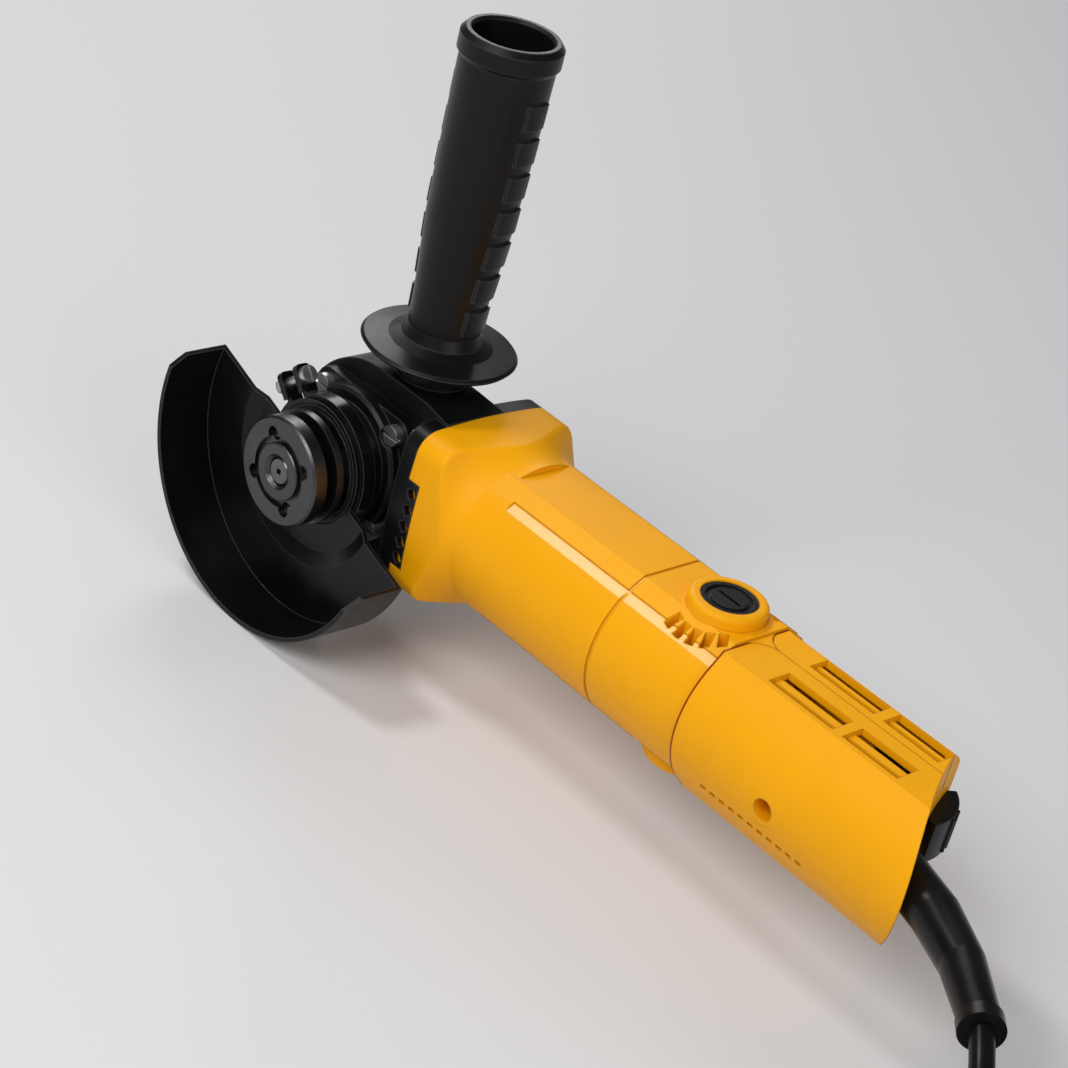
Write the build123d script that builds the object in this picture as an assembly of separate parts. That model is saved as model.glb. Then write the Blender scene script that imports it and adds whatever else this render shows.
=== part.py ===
from build123d import *
import math
import os

# Corded mini angle grinder for 100 mm discs, in millimetres.
# While it is modelled, X is the motor axis (forwards) and Y the spindle axis (towards the disc). They cross
# at the origin, and Z points along the side handle. The last step moves the origin to the disc seat.

# Clearances
RUN = 0.05            # radial, turning shaft in its bore
FIT = 0.1             # fixed pieces of one body
GAP = 0.3             # faces of different bodies that pass each other

# Gear head
CASE_HALF = 31.0      # half width of the square joint flange
CASE_BULGE = 1.8      # how far the flange's sides bow out in the middle
CASE_CORNER_R = 8.0
JOINT_X = -36.0       # plane where gear case and motor housing meet
FLANGE_T = 6.0
HEAD_R = 33.0         # nose radius and half height of the gear case
CASE_BACK_Y = -30.0
CASE_FACE_Y = 18.5    # seat of the bearing cover
CASE_BEVEL = 25.0     # bevel along the two back edges
CHAMBER_R = 22.5
CHAMBER_BACK_Y = -4.0
NECK = 2.0            # room round the spindle behind the gear chamber
HEAD_SCREW_AT = 22.5
HEAD_SCREW_R = 2.0
HEAD_SCREW_HEAD_R = 3.5
HEAD_SCREW_HEAD_T = 3.0
HEAD_SCREW_LENGTH = 18.0

# Bearing cover with the guard collar
COVER_HALF = 24.0
COVER_T = 4.5
COVER_SCREW_AT = 18.5
COVER_SCREW_R = 2.0
COVER_SCREW_DEPTH = 9.0
COVER_HEAD_R = 3.6
COVER_HEAD_T = 3.2
COLLAR_ROOT_R = 25.0
COLLAR_ROOT_T = 4.0
COLLAR_R = 20.5
COLLAR_END_Y = 39.5
DUST_RING_R = 19.0
DUST_RING_T = 1.8
RETAINER_R = 17.0
RETAINER_T = 2.0
RETAINER_LIP = 2.5    # how far the retainer covers the bearing's outer ring

# Spindle and what it carries
SPINDLE_R = 6.0
SPINDLE_TAIL_R = 4.0
SPINDLE_BACK_Y = -22.3
SPINDLE_STEP_Y = -13.5
THREAD_R = 5.0
SHOULDER_Y = 40.0     # back of the inner flange
SEAT_Y = 45.5         # disc seat, front of the inner flange
DISC_GAP = 4.0        # room for the disc
NUT_T = 5.5
NUT_R = 19.0
NUT_BOSS_R = 10.0
NUT_GROOVE_W = 2.3
SPANNER_HOLE_R = 2.5
SPANNER_HOLE_AT = 13.0
FLANGE_DISC_R = 19.5
FLANGE_DISC_T = 3.2
FLANGE_HUB_R = 12.5
PILOT_R = 8.0
PILOT_T = 1.3

# Ball bearings: bore radius, outer radius, width
SPINDLE_BEARING = (SPINDLE_R, 14.0, 8.0)
SPINDLE_BEARING_Y = 24.0
FRONT_BEARING = (5.0, 13.0, 8.0)
FRONT_BEARING_X = -35.0
REAR_BEARING = (3.5, 9.5, 6.0)
REAR_BEARING_X = -167.0
NEEDLE_R = 6.0
NEEDLE_LENGTH = 9.0
NEEDLE_Y = -22.8

# Bevel gears: straight teeth, apex where the two axes cross
PINION_TEETH = 11
CROWN_TEETH = 33
CROWN_PITCH_R = 19.5
FACE_WIDTH = 6.0
ADDENDUM = 0.75       # share of the module
DEDENDUM = 1.0
TOOTH_SHARE = 0.30    # tooth thickness at the pitch line, share of the pitch
TOOTH_SLOPE = 24.0    # flank angle, degrees
PINION_HUB_T = 2.2
PINION_NUT_T = 2.8
CROWN_BACK_Y = 13.0
CROWN_HUB_Y = 17.0
CROWN_HUB_R = 8.2
LOCK_HOLES = 12
LOCK_HOLE_R = 2.3
LOCK_HOLE_AT = 10.9

# Spindle lock
LOCK_PIN_R = 1.9
LOCK_TRAVEL = 5.0
LOCK_PIN_TIP_Y = 1.5
LOCK_CAP_R = 8.0
LOCK_CAP_T = 4.0
LOCK_WELL_R = 6.5
LOCK_WELL_DEPTH = 6.5
LOCK_SPRING_R = 3.6
HUMP_Y = -42.0        # top of the hump beside the lock button
HUMP_W = 8.0          # its half width
HUMP_START_X = -17.0
HUMP_END_X = 1.5

# Guard
GUARD_R = 56.5
SHEET = 1.6
GUARD_PLATE_Y = 42.0
GUARD_RIM_Y = 62.5
GUARD_TILT = 17.8     # the straight edge of the half disc rises towards the front
GUARD_ARC = 180.0
RIM_CHAMFER = 5.0
DISH_Y = 38.0         # recessed middle of the guard plate
DISH_R = 31.0
DISH_SLOPE_R = 36.0
GUARD_COLLAR_T = 1.4
GUARD_COLLAR_Y = 32.6
BAND_T = 1.5
BAND_WIDTH = 5.4
EAR_ANGLE = 45.0
EAR_GAP = 7.0
EAR_HEIGHT = 9.5
EAR_T = 2.0
EAR_SCREW_R = 1.8
EAR_SCREW_AT = 5.2

# Side handle
HANDLE_X = -9.0
HANDLE_Y = 3.0
HANDLE_FACE_Z = 37.5  # face of the handle boss
HANDLE_BOSS_R = 12.5
SOCKET_R = 3.4
SOCKET_DEPTH = 12.0
HANDLE_BASE_Z = 42.0  # underside of the handle flange
HANDLE_LENGTH = 115.0
HANDLE_FLANGE_R = 27.0
STUD_R = 4.0
STUD_IN_GRIP = 22.0
GRIP_ROOT_R = 12.4
GRIP_MID_R = 15.4
GRIP_TOP_R = 16.0
GRIP_LIP_R = 17.2
GRIP_BORE_R = 13.3
GRIP_BORE_DEPTH = 22.0
GRIP_ROOT_AT = 10.0   # heights of the grip's outline over the handle's base
GRIP_WAIST_AT = 22.0
GRIP_SWELL_AT = 50.0
GRIP_MID_AT = 72.0
GRIP_TOP_BACK = 12.0  # and the last one, under the handle's tip
PAD_COUNT = 7
PAD_RISE = 1.0
PAD_W = 11.6
PAD_H = 8.6
PAD_PITCH = 12.6
PAD_START = 17.0
PAD_NARROWING = 0.3
PAD_TURNS = (9.0, 189.0)

# Motor housing
BARREL_R = 29.0
BARREL_FLAT = 26.3    # flats on the handle side and its opposite
BARREL_FLAT_W = 12.2  # half width of a flat
BEVEL_ANGLE = 41.0    # where the bevel beside the flat meets the round, from +Z
BLOCK_END_X = -47.0   # ridge at the back of the square part, at its corners
SHOULDER_X = -66.0    # barrel begins
SWOOP_MIDDLE = (-53.5, 32.4)  # on the sweep from the ridge down to the barrel
SWOOP_FOOT = 0.4      # how far the sweep ends inside the barrel
RIDGE_R = 2.0
STRIP_X = -72.0       # front end of the narrow flats beside the bevels
STRIP_W = 4.0
STRIP_ANGLE = 47.0    # where such a flat leaves the round, from +Z
STRIP_TILT = 12.5
HOUSING_END_X = -168.0
STATOR_R = 23.5
FAN_ROOM_R = 27.0
FAN_ROOM_X = -54.0
GROOVE_X = -127.0
GROOVE_W = 1.0
GROOVE_DEPTH = 0.5
WINDOW_X = 5.5        # exhaust notch in the front edge
WINDOW_LOW_Z = -20.0
WINDOW_HIGH_Z = 13.0
BAR_T = 2.4
BAR_PITCH = 6.2
BAR_SLOT = 3.4
BAR_SLANT = 35.0
BAR_FRAME = 1.1
TONGUE_R = 9.0        # rounded front corners of the rear cover, filled by the housing
BRIDGE_T = 2.0

# Brushes
BRUSH_X = -152.0
BOSS_R = 13.2
BOSS_Z = 30.6
BOSS_ROUND = 1.8
CAP_R = 9.5
CAP_T = 3.0
CAP_SINK = 1.2
CAP_RIM = 1.6
CAP_HUB_R = 6.1
CAP_SLOT_W = 1.5
HOLDER_R = 6.5
HOLDER_INNER_Z = 11.5
BRUSH_Y = 5.0
BRUSH_XW = 8.0
VENT_COUNT = 5
VENT_AT = 17.8
VENT_STEP = 15.0
VENT_LEAN = 12.0      # turn of the whole row round the boss, towards the tail
VENT_L = 4.6
VENT_W = 3.0
VENT_FLOOR_Z = 12.0   # inside the barrel
VENT_TOP_Z = 50.6     # over the boss

# Armature and stator
SHAFT_R = 5.0
PINION_SHAFT_R = 2.5
REAR_SHAFT_R = 3.5
SHAFT_TIP = 1.0       # shaft proud of the pinion's nut
SHAFT_REAR_STEP_X = -160.5
CORE_START_X = -72.0
CORE_END_X = -116.0
CORE_R = 14.5
POLE_GAP = 0.6
POLE_HALF = 9.0
YOKE_T = 4.0
COIL_HEAD = 7.0       # field coils past the ends of the stack
COIL_HALF_H = 12.5
FRONT_HEAD = 9.0      # armature's winding heads
REAR_HEAD = 12.0
COMMUTATOR_R = 10.5
COMMUTATOR_X = -159.0
COMMUTATOR_LENGTH = 15.0
COMMUTATOR_BARS = 12
FAN_X = -50.5
FAN_R = 24.0
FAN_W = 9.0
FAN_BLADES = 12
FAN_BLADE_T = 1.4
FAN_PLATE_T = 1.5
FAN_HUB_R = 9.0
BAFFLE_T = 1.6

# Rear cover halves
COVER_FLAT = 25.5
NEAR_FLAT_W = 17.5
NEAR_RIDGE = (21.8, 20.9)
COVER_SIDE = 30.2
FAR_FLAT_W = 12.0     # the far half is the flatter one
FAR_RIDGE = (19.5, 20.3)
FAR_SIDE = 28.4
COVER_WALL = 2.4
COVER_ROOM = 60.0     # beyond the cover's walls, for the blocks that part its halves
TAIL_X = -264.5       # hindmost point, on the near side
TAIL_MID = (-247.0, 5.0)
TAIL_FAR = (-236.0, -20.0)
TAIL_CORNER = 12.0
TAIL_ROUND = 11.0     # how far the tail's end bulges over its height
TAIL_SLANT = 1.17     # length along the axis of one unit of wall in the slanted end
SEAM = 0.15
SCREW_X = -208.0
SCREW_Z = -3.6
SCREW_BOSS_R = 5.2
SCREW_RECESS_R = 3.6
SCREW_FLOOR_Y = 13.0
SCREW_R = 1.7
SLOT_W = 3.2
SLOT_ROWS = ((7.6, 14.0), (-5.0, -10.0))
SLOT_SINK = 1.2
SLOT_SPANS = ((-213.0, -186.0), (-239.5, -217.0))
TINY_COUNT = 11
TINY_START_X = -183.0
TINY_PITCH = 4.1
TINY_Z = -13.2
TINY_L = 2.2
TINY_W = 1.1

# Switch
PIVOT_X = -226.7
PIVOT_Y = -6.4
PIVOT_R = 1.5
LEVER_R = 20.0
LEVER_W = 14.0
LEVER_LOW = 190.0     # lever's arc, degrees from forwards round the far side
LEVER_HIGH = 122.0
LEVER_SWING = 8.0
SWITCH_LENGTH = 9.0
SWITCH_W = 24.0
SWITCH_H = 18.0
CRADLE_T = 3.0

# Cord
CORD_D = 7.5
BOOT_ROOT_R = 7.8
BOOT_TIP_R = 6.3
BOOT_RING_R = 7.0
BOOT_START = (-250.0, 15.5)
BOOT_SLOPE = (14.0, 45.0)
BOOT_LENGTH = 72.4
BOOT_WALL_FLANGE_R = 9.3
FLOOR_Z = -GUARD_R    # the guard's rim stands on this level
CORD_ROUTE = [        # corners of the free stretch after the boot, down to the top of the coil
    (-330.7, 69.1, 0.0),
    (-352.0, 80.0, -43.75),
    (-377.5, 80.0, -43.75),
]
CORD_BEND = 38.0
COIL_OUT_R = 57.0
COIL_IN_R = 29.0
COIL_END_R = 66.0
COIL_TURNS = 3.25     # in the upper layer
CLIMB_TURNS = 0.5
COIL_LAST_TURNS = 3.45
COIL_LAYER = -8.0     # the second layer is on the floor
COIL_LANDING = 0.2    # turns over which the end comes up to the plug
TIE_T = 0.8
TIE_W = 9.0
TIE_ANGLE = 30.0
TIE_ROOM = 1.0
PLUG_HALF_H = 11.0
PLUG_W = 34.0
PLUG_RELIEF_L = 26.0
PLUG_RELIEF_R = (5.0, 8.0)
PLUG_NECK_L = 9.0
PLUG_BODY_L = 25.0
PLUG_PIN_R = 2.4
PLUG_PIN_L = 19.0
PLUG_PIN_AT = 9.5


def turned_x(*points):
    """Solid turned about the motor axis from (x, radius) points."""
    return revolve(make_face(Polyline(*points, close=True)), Axis.X)


def turned_y(*points):
    """Solid turned about the spindle axis from (radius, y) points."""
    return revolve(make_face(Polyline(*points, close=True)), Axis.Y)


def turned_z(*points):
    """Solid turned about the handle's direction from (radius, z) points."""
    outline = Polyline(*[(radius, 0, z) for radius, z in points], close=True)
    return revolve(make_face(outline), Axis.Z)


def rod_x(radius, start, end, y=0.0, z=0.0):
    body = Cylinder(radius, abs(end - start), align=(Align.CENTER, Align.CENTER, Align.MIN))
    return Pos(min(start, end), y, z) * Rot(0, 90, 0) * body


def rod_y(radius, start, end, x=0.0, z=0.0):
    body = Cylinder(radius, abs(end - start), align=(Align.CENTER, Align.CENTER, Align.MIN))
    return Pos(x, min(start, end), z) * Rot(-90, 0, 0) * body


def rod_z(radius, start, end, x=0.0, y=0.0):
    body = Cylinder(radius, abs(end - start), align=(Align.CENTER, Align.CENTER, Align.MIN))
    return Pos(x, y, min(start, end)) * body


def slab(x, y, z):
    """Box between three pairs of limits."""
    centre = Pos(sum(x) / 2, sum(y) / 2, sum(z) / 2)
    return centre * Box(abs(x[1] - x[0]), abs(y[1] - y[0]), abs(z[1] - z[0]))


def both_sides(shape):
    """The shape and its mirror image across the motor's middle plane, handle side to opposite."""
    return [shape, mirror(shape, about=Plane.XY)]


def flange_section():
    """Section of the joint flange and the square part behind it: a rounded square with bowed sides."""
    corner = CASE_HALF - CASE_BULGE
    side = ThreePointArc((-corner, corner), (0, CASE_HALF), (corner, corner))
    square = make_face([Rot(0, 0, 90 * i) * side for i in range(4)])
    return fillet(square.vertices(), CASE_CORNER_R)


def along_x(face, start, end):
    """Extrude a section, drawn as (y, z), between two places on the motor axis."""
    return extrude(Plane.YZ.offset(min(start, end)) * face, abs(end - start))


def corner_places(reach):
    return [(a, b) for a in (-reach, reach) for b in (-reach, reach)]


def gear_case():
    flange = along_x(flange_section(), JOINT_X, JOINT_X + FLANGE_T)
    sides = [(JOINT_X, 0, CASE_HALF), (JOINT_X + 2 * FLANGE_T, 0, HEAD_R), (0, 0, HEAD_R)]
    lower = [(x, y, -z) for x, y, z in reversed(sides)]
    nose = ThreePointArc(sides[-1], (HEAD_R, 0, 0), lower[0])
    outline = make_face([Polyline(*sides), nose, Polyline(*lower), Line(lower[-1], sides[0])])
    outline = Pos(0, CASE_BACK_Y, 0) * outline
    body = extrude(outline, CASE_FACE_Y - CASE_BACK_Y, dir=(0, 1, 0))
    section = Polyline(
        (CASE_FACE_Y, HEAD_R),
        (CASE_BACK_Y + CASE_BEVEL, HEAD_R),
        (CASE_BACK_Y, HEAD_R - CASE_BEVEL),
        (CASE_BACK_Y, CASE_BEVEL - HEAD_R),
        (CASE_BACK_Y + CASE_BEVEL, -HEAD_R),
        (CASE_FACE_Y, -HEAD_R),
        close=True,
    )
    body &= along_x(make_face(section), JOINT_X, HEAD_R)
    case = flange + body + back_hump()
    for side in (1, -1):
        case += rod_z(HANDLE_BOSS_R, 0, side * HANDLE_FACE_Z, HANDLE_X, HANDLE_Y)
    for side in (1, -1):
        case += exhaust_bars(side)
    chamber = turned_y(
        (0, SPINDLE_STEP_Y - GAP),
        (SPINDLE_R + NECK, SPINDLE_STEP_Y - GAP),
        (SPINDLE_R + NECK, CHAMBER_BACK_Y),
        (CHAMBER_R, CHAMBER_BACK_Y),
        (CHAMBER_R, CASE_FACE_Y),
        (0, CASE_FACE_Y),
    )
    case -= chamber
    case -= rod_y(NEEDLE_R + FIT, NEEDLE_Y, SPINDLE_STEP_Y)
    bearing_end = FRONT_BEARING_X + FRONT_BEARING[2]
    case -= rod_x(FRONT_BEARING[1] + FIT, JOINT_X, bearing_end)
    case -= rod_x(pinion_tip_radius() + 1.2, JOINT_X, 0)
    for side in (1, -1):
        floor = side * (HANDLE_FACE_Z - SOCKET_DEPTH)
        case -= rod_z(SOCKET_R, floor, side * HANDLE_FACE_Z, HANDLE_X, HANDLE_Y)
    for y, z in corner_places(HEAD_SCREW_AT):
        case -= rod_x(HEAD_SCREW_R + FIT, JOINT_X, JOINT_X + FLANGE_T, y, z)
    for x, z in corner_places(COVER_SCREW_AT):
        case -= rod_y(COVER_SCREW_R, CASE_FACE_Y - COVER_SCREW_DEPTH, CASE_FACE_Y, x, z)
    case -= rod_y(LOCK_PIN_R + RUN, CASE_BACK_Y, 0, LOCK_HOLE_AT)
    case -= rod_y(LOCK_WELL_R, CASE_BACK_Y, CASE_BACK_Y + LOCK_WELL_DEPTH, LOCK_HOLE_AT)
    return case


def back_hump():
    """Hump behind the spindle, on which the tool can lie without pressing the lock button."""
    outline = make_face(Polyline(
        (JOINT_X + FLANGE_T, CASE_BACK_Y + HUMP_W),
        (JOINT_X + FLANGE_T, CASE_BACK_Y),
        (HUMP_START_X, HUMP_Y),
        (HUMP_END_X, HUMP_Y),
        (HUMP_END_X, CASE_BACK_Y + HUMP_W),
        close=True,
    ))
    hump = extrude(outline, HUMP_W, both=True)
    sides = hump.edges().filter_by(lambda edge: abs(edge.center().Z) > HUMP_W - 1)
    top = sides.filter_by(lambda edge: edge.center().Y < CASE_BACK_Y)
    return chamfer(top, HUMP_W / 4)


def exhaust_bars(side):
    """Slanted bars that fill the exhaust notch in the front edge of the motor housing."""
    outer = side * CASE_HALF
    inner = side * (CASE_HALF - BAR_T)
    tab = slab(
        (JOINT_X - WINDOW_X + GAP, JOINT_X),
        (inner, outer),
        (WINDOW_LOW_Z + GAP, WINDOW_HIGH_Z - GAP),
    )
    tab &= along_x(flange_section(), JOINT_X - WINDOW_X, JOINT_X)
    slots = (WINDOW_HIGH_Z - WINDOW_LOW_Z) / BAR_PITCH
    for i in range(int(slots)):
        place = Pos(JOINT_X - WINDOW_X / 2, outer, WINDOW_LOW_Z + (i + 0.6) * BAR_PITCH)
        tab -= place * Rot(0, BAR_SLANT, 0) * Box(WINDOW_X - 2 * BAR_FRAME, 4 * BAR_T, BAR_SLOT)
    return tab


def screw_group(places, radius, length, head_r, head_t):
    """Pan screws along +Z before placing; each place is a location at the underside of the head."""
    shank = Pos(0, 0, -length) * Cylinder(radius, length, align=(Align.CENTER, Align.CENTER, Align.MIN))
    head = Cylinder(head_r, head_t, align=(Align.CENTER, Align.CENTER, Align.MIN))
    head -= Pos(0, 0, head_t) * Box(2 * head_r, head_t / 3, head_t)
    screw = shank + head
    return [place * screw for place in places]


def head_screws():
    face = JOINT_X + FLANGE_T
    places = [Pos(face, y, z) * Rot(0, 90, 0) for y, z in corner_places(HEAD_SCREW_AT)]
    return screw_group(places, HEAD_SCREW_R, HEAD_SCREW_LENGTH, HEAD_SCREW_HEAD_R, HEAD_SCREW_HEAD_T)


def bearing_cover():
    plate = Pos(0, CASE_FACE_Y, 0) * Rot(-90, 0, 0) * extrude(RectangleRounded(
        2 * COVER_HALF, 2 * COVER_HALF, COVER_HALF - COVER_SCREW_AT), COVER_T)
    top = CASE_FACE_Y + COVER_T
    seat_r = SPINDLE_BEARING[1] + FIT
    seat_end = SPINDLE_BEARING_Y + SPINDLE_BEARING[2]
    cover = plate + turned_y(
        (0, CASE_FACE_Y),
        (COLLAR_ROOT_R, CASE_FACE_Y),
        (COLLAR_ROOT_R, top + COLLAR_ROOT_T - 1),
        (COLLAR_ROOT_R - 1, top + COLLAR_ROOT_T),
        (COLLAR_R, top + COLLAR_ROOT_T),
        (COLLAR_R, COLLAR_END_Y),
        (0, COLLAR_END_Y),
    )
    cover -= turned_y(
        (0, CASE_FACE_Y),
        (RETAINER_R + FIT, CASE_FACE_Y),
        (RETAINER_R + FIT, SPINDLE_BEARING_Y),
        (seat_r, SPINDLE_BEARING_Y),
        (seat_r, seat_end),
        (SPINDLE_R + NECK, seat_end),
        (SPINDLE_R + NECK, COLLAR_END_Y - DUST_RING_T),
        (DUST_RING_R + FIT, COLLAR_END_Y - DUST_RING_T),
        (DUST_RING_R + FIT, COLLAR_END_Y),
        (0, COLLAR_END_Y),
    )
    for x, z in corner_places(COVER_SCREW_AT):
        cover -= rod_y(COVER_SCREW_R + FIT, CASE_FACE_Y, top, x, z)
        cover -= rod_y(COVER_HEAD_R + GAP, top, top + COLLAR_ROOT_T, x, z)
    return cover


def bearing_cover_screws():
    top = CASE_FACE_Y + COVER_T
    places = [Pos(x, top, z) * Rot(-90, 0, 0) for x, z in corner_places(COVER_SCREW_AT)]
    length = COVER_T + COVER_SCREW_DEPTH - 1
    return screw_group(places, COVER_SCREW_R - FIT, length, COVER_HEAD_R, COVER_HEAD_T)


def bearing_retainer():
    """Ring that keeps the spindle bearing in the cover."""
    return turned_y(
        (SPINDLE_BEARING[1] - RETAINER_LIP, SPINDLE_BEARING_Y - RETAINER_T),
        (RETAINER_R, SPINDLE_BEARING_Y - RETAINER_T),
        (RETAINER_R, SPINDLE_BEARING_Y),
        (SPINDLE_BEARING[1] - RETAINER_LIP, SPINDLE_BEARING_Y),
    )


def sealed_bearing(size):
    """Ball bearing along +Z from 0: inner ring, outer ring and the seal between them."""
    bore, outer, width = size
    land = (outer - bore) * 0.3
    inner_ring = Cylinder(bore + land, width) - Cylinder(bore + RUN, width)
    outer_ring = Cylinder(outer, width) - Cylinder(outer - land, width)
    seal = Cylinder(outer - land, width - 0.8) - Cylinder(bore + land, width - 0.8)
    return [Pos(0, 0, width / 2) * ring for ring in (inner_ring, outer_ring, seal)]


def spindle_bearing():
    return [Pos(0, SPINDLE_BEARING_Y, 0) * Rot(-90, 0, 0) * s for s in sealed_bearing(SPINDLE_BEARING)]


def front_bearing():
    return [Pos(FRONT_BEARING_X, 0, 0) * Rot(0, 90, 0) * s for s in sealed_bearing(FRONT_BEARING)]


def rear_bearing():
    return [Pos(REAR_BEARING_X, 0, 0) * Rot(0, 90, 0) * s for s in sealed_bearing(REAR_BEARING)]


def needle_bearing():
    end = NEEDLE_Y + NEEDLE_LENGTH
    return rod_y(NEEDLE_R, NEEDLE_Y, end) - rod_y(SPINDLE_TAIL_R + RUN, NEEDLE_Y, end)


def dust_ring():
    back = COLLAR_END_Y - DUST_RING_T
    front = SHOULDER_Y - GAP
    bore = SPINDLE_R + 1
    return turned_y((bore, back), (DUST_RING_R, back), (DUST_RING_R, front), (bore, front))


def nut_face_y():
    return SEAT_Y + DISC_GAP + NUT_T


def spindle():
    end = nut_face_y() - 0.3
    shoulder_r = SPINDLE_R + 1.4
    body = turned_y(
        (0, SPINDLE_BACK_Y),
        (SPINDLE_TAIL_R, SPINDLE_BACK_Y),
        (SPINDLE_TAIL_R, SPINDLE_STEP_Y),
        (SPINDLE_R, SPINDLE_STEP_Y),
        (SPINDLE_R, CROWN_HUB_Y),
        (shoulder_r, CROWN_HUB_Y),
        (shoulder_r, SPINDLE_BEARING_Y - GAP),
        (SPINDLE_R, SPINDLE_BEARING_Y - GAP),
        (SPINDLE_R, SHOULDER_Y),
        (THREAD_R, SHOULDER_Y),
        (THREAD_R, end - 1),
        (THREAD_R - 0.8, end),
        (0, end),
    )
    centre_mark = Pos(0, end, 0) * Box(2.0, 3.0, 2.0)
    return body - centre_mark


def inner_flange():
    front = SEAT_Y
    back_of_disc = SEAT_Y - FLANGE_DISC_T
    return turned_y(
        (THREAD_R + FIT, SHOULDER_Y),
        (FLANGE_HUB_R, SHOULDER_Y),
        (FLANGE_HUB_R + 1, back_of_disc),
        (FLANGE_DISC_R - 0.5, back_of_disc),
        (FLANGE_DISC_R, back_of_disc + 0.5),
        (FLANGE_DISC_R, front),
        (FLANGE_DISC_R - 6, front),
        (FLANGE_DISC_R - 6, front - 0.6),
        (PILOT_R, front - 0.6),
        (PILOT_R, front + PILOT_T - 0.3),
        (PILOT_R - 0.3, front + PILOT_T),
        (THREAD_R + FIT, front + PILOT_T),
    )


def lock_nut():
    back = SEAT_Y + DISC_GAP
    face = nut_face_y()
    groove_r = NUT_BOSS_R + NUT_GROOVE_W
    nut = turned_y(
        (THREAD_R + FIT, back - 2.0),
        (PILOT_R - 0.2, back - 2.0),
        (PILOT_R - 0.2, back),
        (NUT_R, back),
        (NUT_R, face - 0.8),
        (NUT_R - 0.8, face),
        (groove_r, face),
        (groove_r, face - 1.6),
        (NUT_BOSS_R, face - 1.6),
        (NUT_BOSS_R, face + 0.2),
        (NUT_BOSS_R - 0.4, face + 0.6),
        (THREAD_R + 1.2, face + 0.6),
        (THREAD_R + FIT, face - 0.8),
    )
    for place in PolarLocations(SPANNER_HOLE_AT, 4, start_angle=28):
        nut -= Pos(0, face - 3.0, 0) * Rot(-90, 0, 0) * place * Cylinder(
            SPANNER_HOLE_R, 6.0, align=(Align.CENTER, Align.CENTER, Align.MIN))
    return nut


def pitch_angles():
    pinion = math.atan2(PINION_TEETH, CROWN_TEETH)
    return pinion, math.pi / 2 - pinion


def gear_module():
    return 2 * CROWN_PITCH_R / CROWN_TEETH


def cone_distance():
    return CROWN_PITCH_R / math.sin(pitch_angles()[1])


def pinion_tip_radius():
    angle = pitch_angles()[0]
    return cone_distance() * math.sin(angle) + ADDENDUM * gear_module() * math.cos(angle)


def pinion_front():
    """Distance from the apex to the small end of the pinion's teeth."""
    angle = pitch_angles()[0]
    distance = cone_distance() - FACE_WIDTH
    tip = ADDENDUM * gear_module() * distance / cone_distance()
    return distance * math.cos(angle) - tip * math.sin(angle)


def pinion_back():
    """Distance from the apex to the back of the pinion's hub, where the shaft's shoulder is."""
    return root_point(pitch_angles()[0], cone_distance())[1] + PINION_HUB_T


def bevel_tooth(angle, foot):
    """One straight tooth on a cone of the given pitch angle about +Z, apex at the origin, in the XZ plane.

    Both ends are the same trapezium scaled from the apex, so every flank runs to the apex."""
    module = gear_module()
    half = math.pi * module * TOOTH_SHARE / 2
    slope = math.tan(math.radians(TOOTH_SLOPE))
    along = Vector(math.sin(angle), 0, math.cos(angle))
    outward = Vector(math.cos(angle), 0, -math.sin(angle))
    ends = []
    for distance in (cone_distance(), cone_distance() - FACE_WIDTH):
        scale = distance / cone_distance()
        corners = []
        for height, side in ((-foot, -1), (ADDENDUM * module, -1), (ADDENDUM * module, 1), (-foot, 1)):
            width = (half - slope * height) * scale * side
            corners.append(along * distance + outward * (height * scale) + Vector(0, width, 0))
        ends.append(make_face(Polyline(*corners, close=True)))
    return loft(ends, ruled=True)


def bevel_gear(teeth, angle, profile):
    """Toothed cone about +Z with its apex at the origin, on a turned (radius, z) body."""
    gear = turned_z(*profile)
    tooth = bevel_tooth(angle, DEDENDUM * gear_module() + 0.3)
    return gear.fuse(*[Rot(0, 0, 360 * i / teeth) * tooth for i in range(teeth)])


def root_point(angle, distance):
    """Radius and height of the root cone at a cone distance."""
    scale = distance / cone_distance()
    foot = DEDENDUM * gear_module() * scale
    radius = distance * math.sin(angle) - foot * math.cos(angle)
    height = distance * math.cos(angle) + foot * math.sin(angle)
    return radius, height


def crown_gear():
    angle = pitch_angles()[1]
    outer = root_point(angle, cone_distance())
    inner = root_point(angle, cone_distance() - FACE_WIDTH)
    bore = SPINDLE_R + FIT
    gear = bevel_gear(CROWN_TEETH, angle, [
        (bore, inner[1]), inner, outer, (outer[0], CROWN_BACK_Y), (CROWN_HUB_R, CROWN_BACK_Y),
        (CROWN_HUB_R, CROWN_HUB_Y), (bore, CROWN_HUB_Y),
    ])
    for place in PolarLocations(LOCK_HOLE_AT, LOCK_HOLES):
        gear -= place * Cylinder(LOCK_HOLE_R, CROWN_BACK_Y, align=(Align.CENTER, Align.CENTER, Align.MIN))
    return Rot(-90, 0, 0) * gear


def pinion():
    angle = pitch_angles()[0]
    outer = root_point(angle, cone_distance())
    inner = root_point(angle, cone_distance() - FACE_WIDTH)
    bore = PINION_SHAFT_R + FIT
    gear = bevel_gear(PINION_TEETH, angle, [
        (bore, pinion_front()), (inner[0], pinion_front()), inner, outer, (outer[0], pinion_back()),
        (bore, pinion_back()),
    ])
    return Rot(0, -90, 0) * Rot(0, 0, 90) * gear


def pinion_nut():
    start = -pinion_front()
    end = start + PINION_NUT_T
    face = along_x(RegularPolygon(PINION_SHAFT_R + 1.7, 6), start, end)
    return face - rod_x(PINION_SHAFT_R + FIT, start, end)


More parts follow.
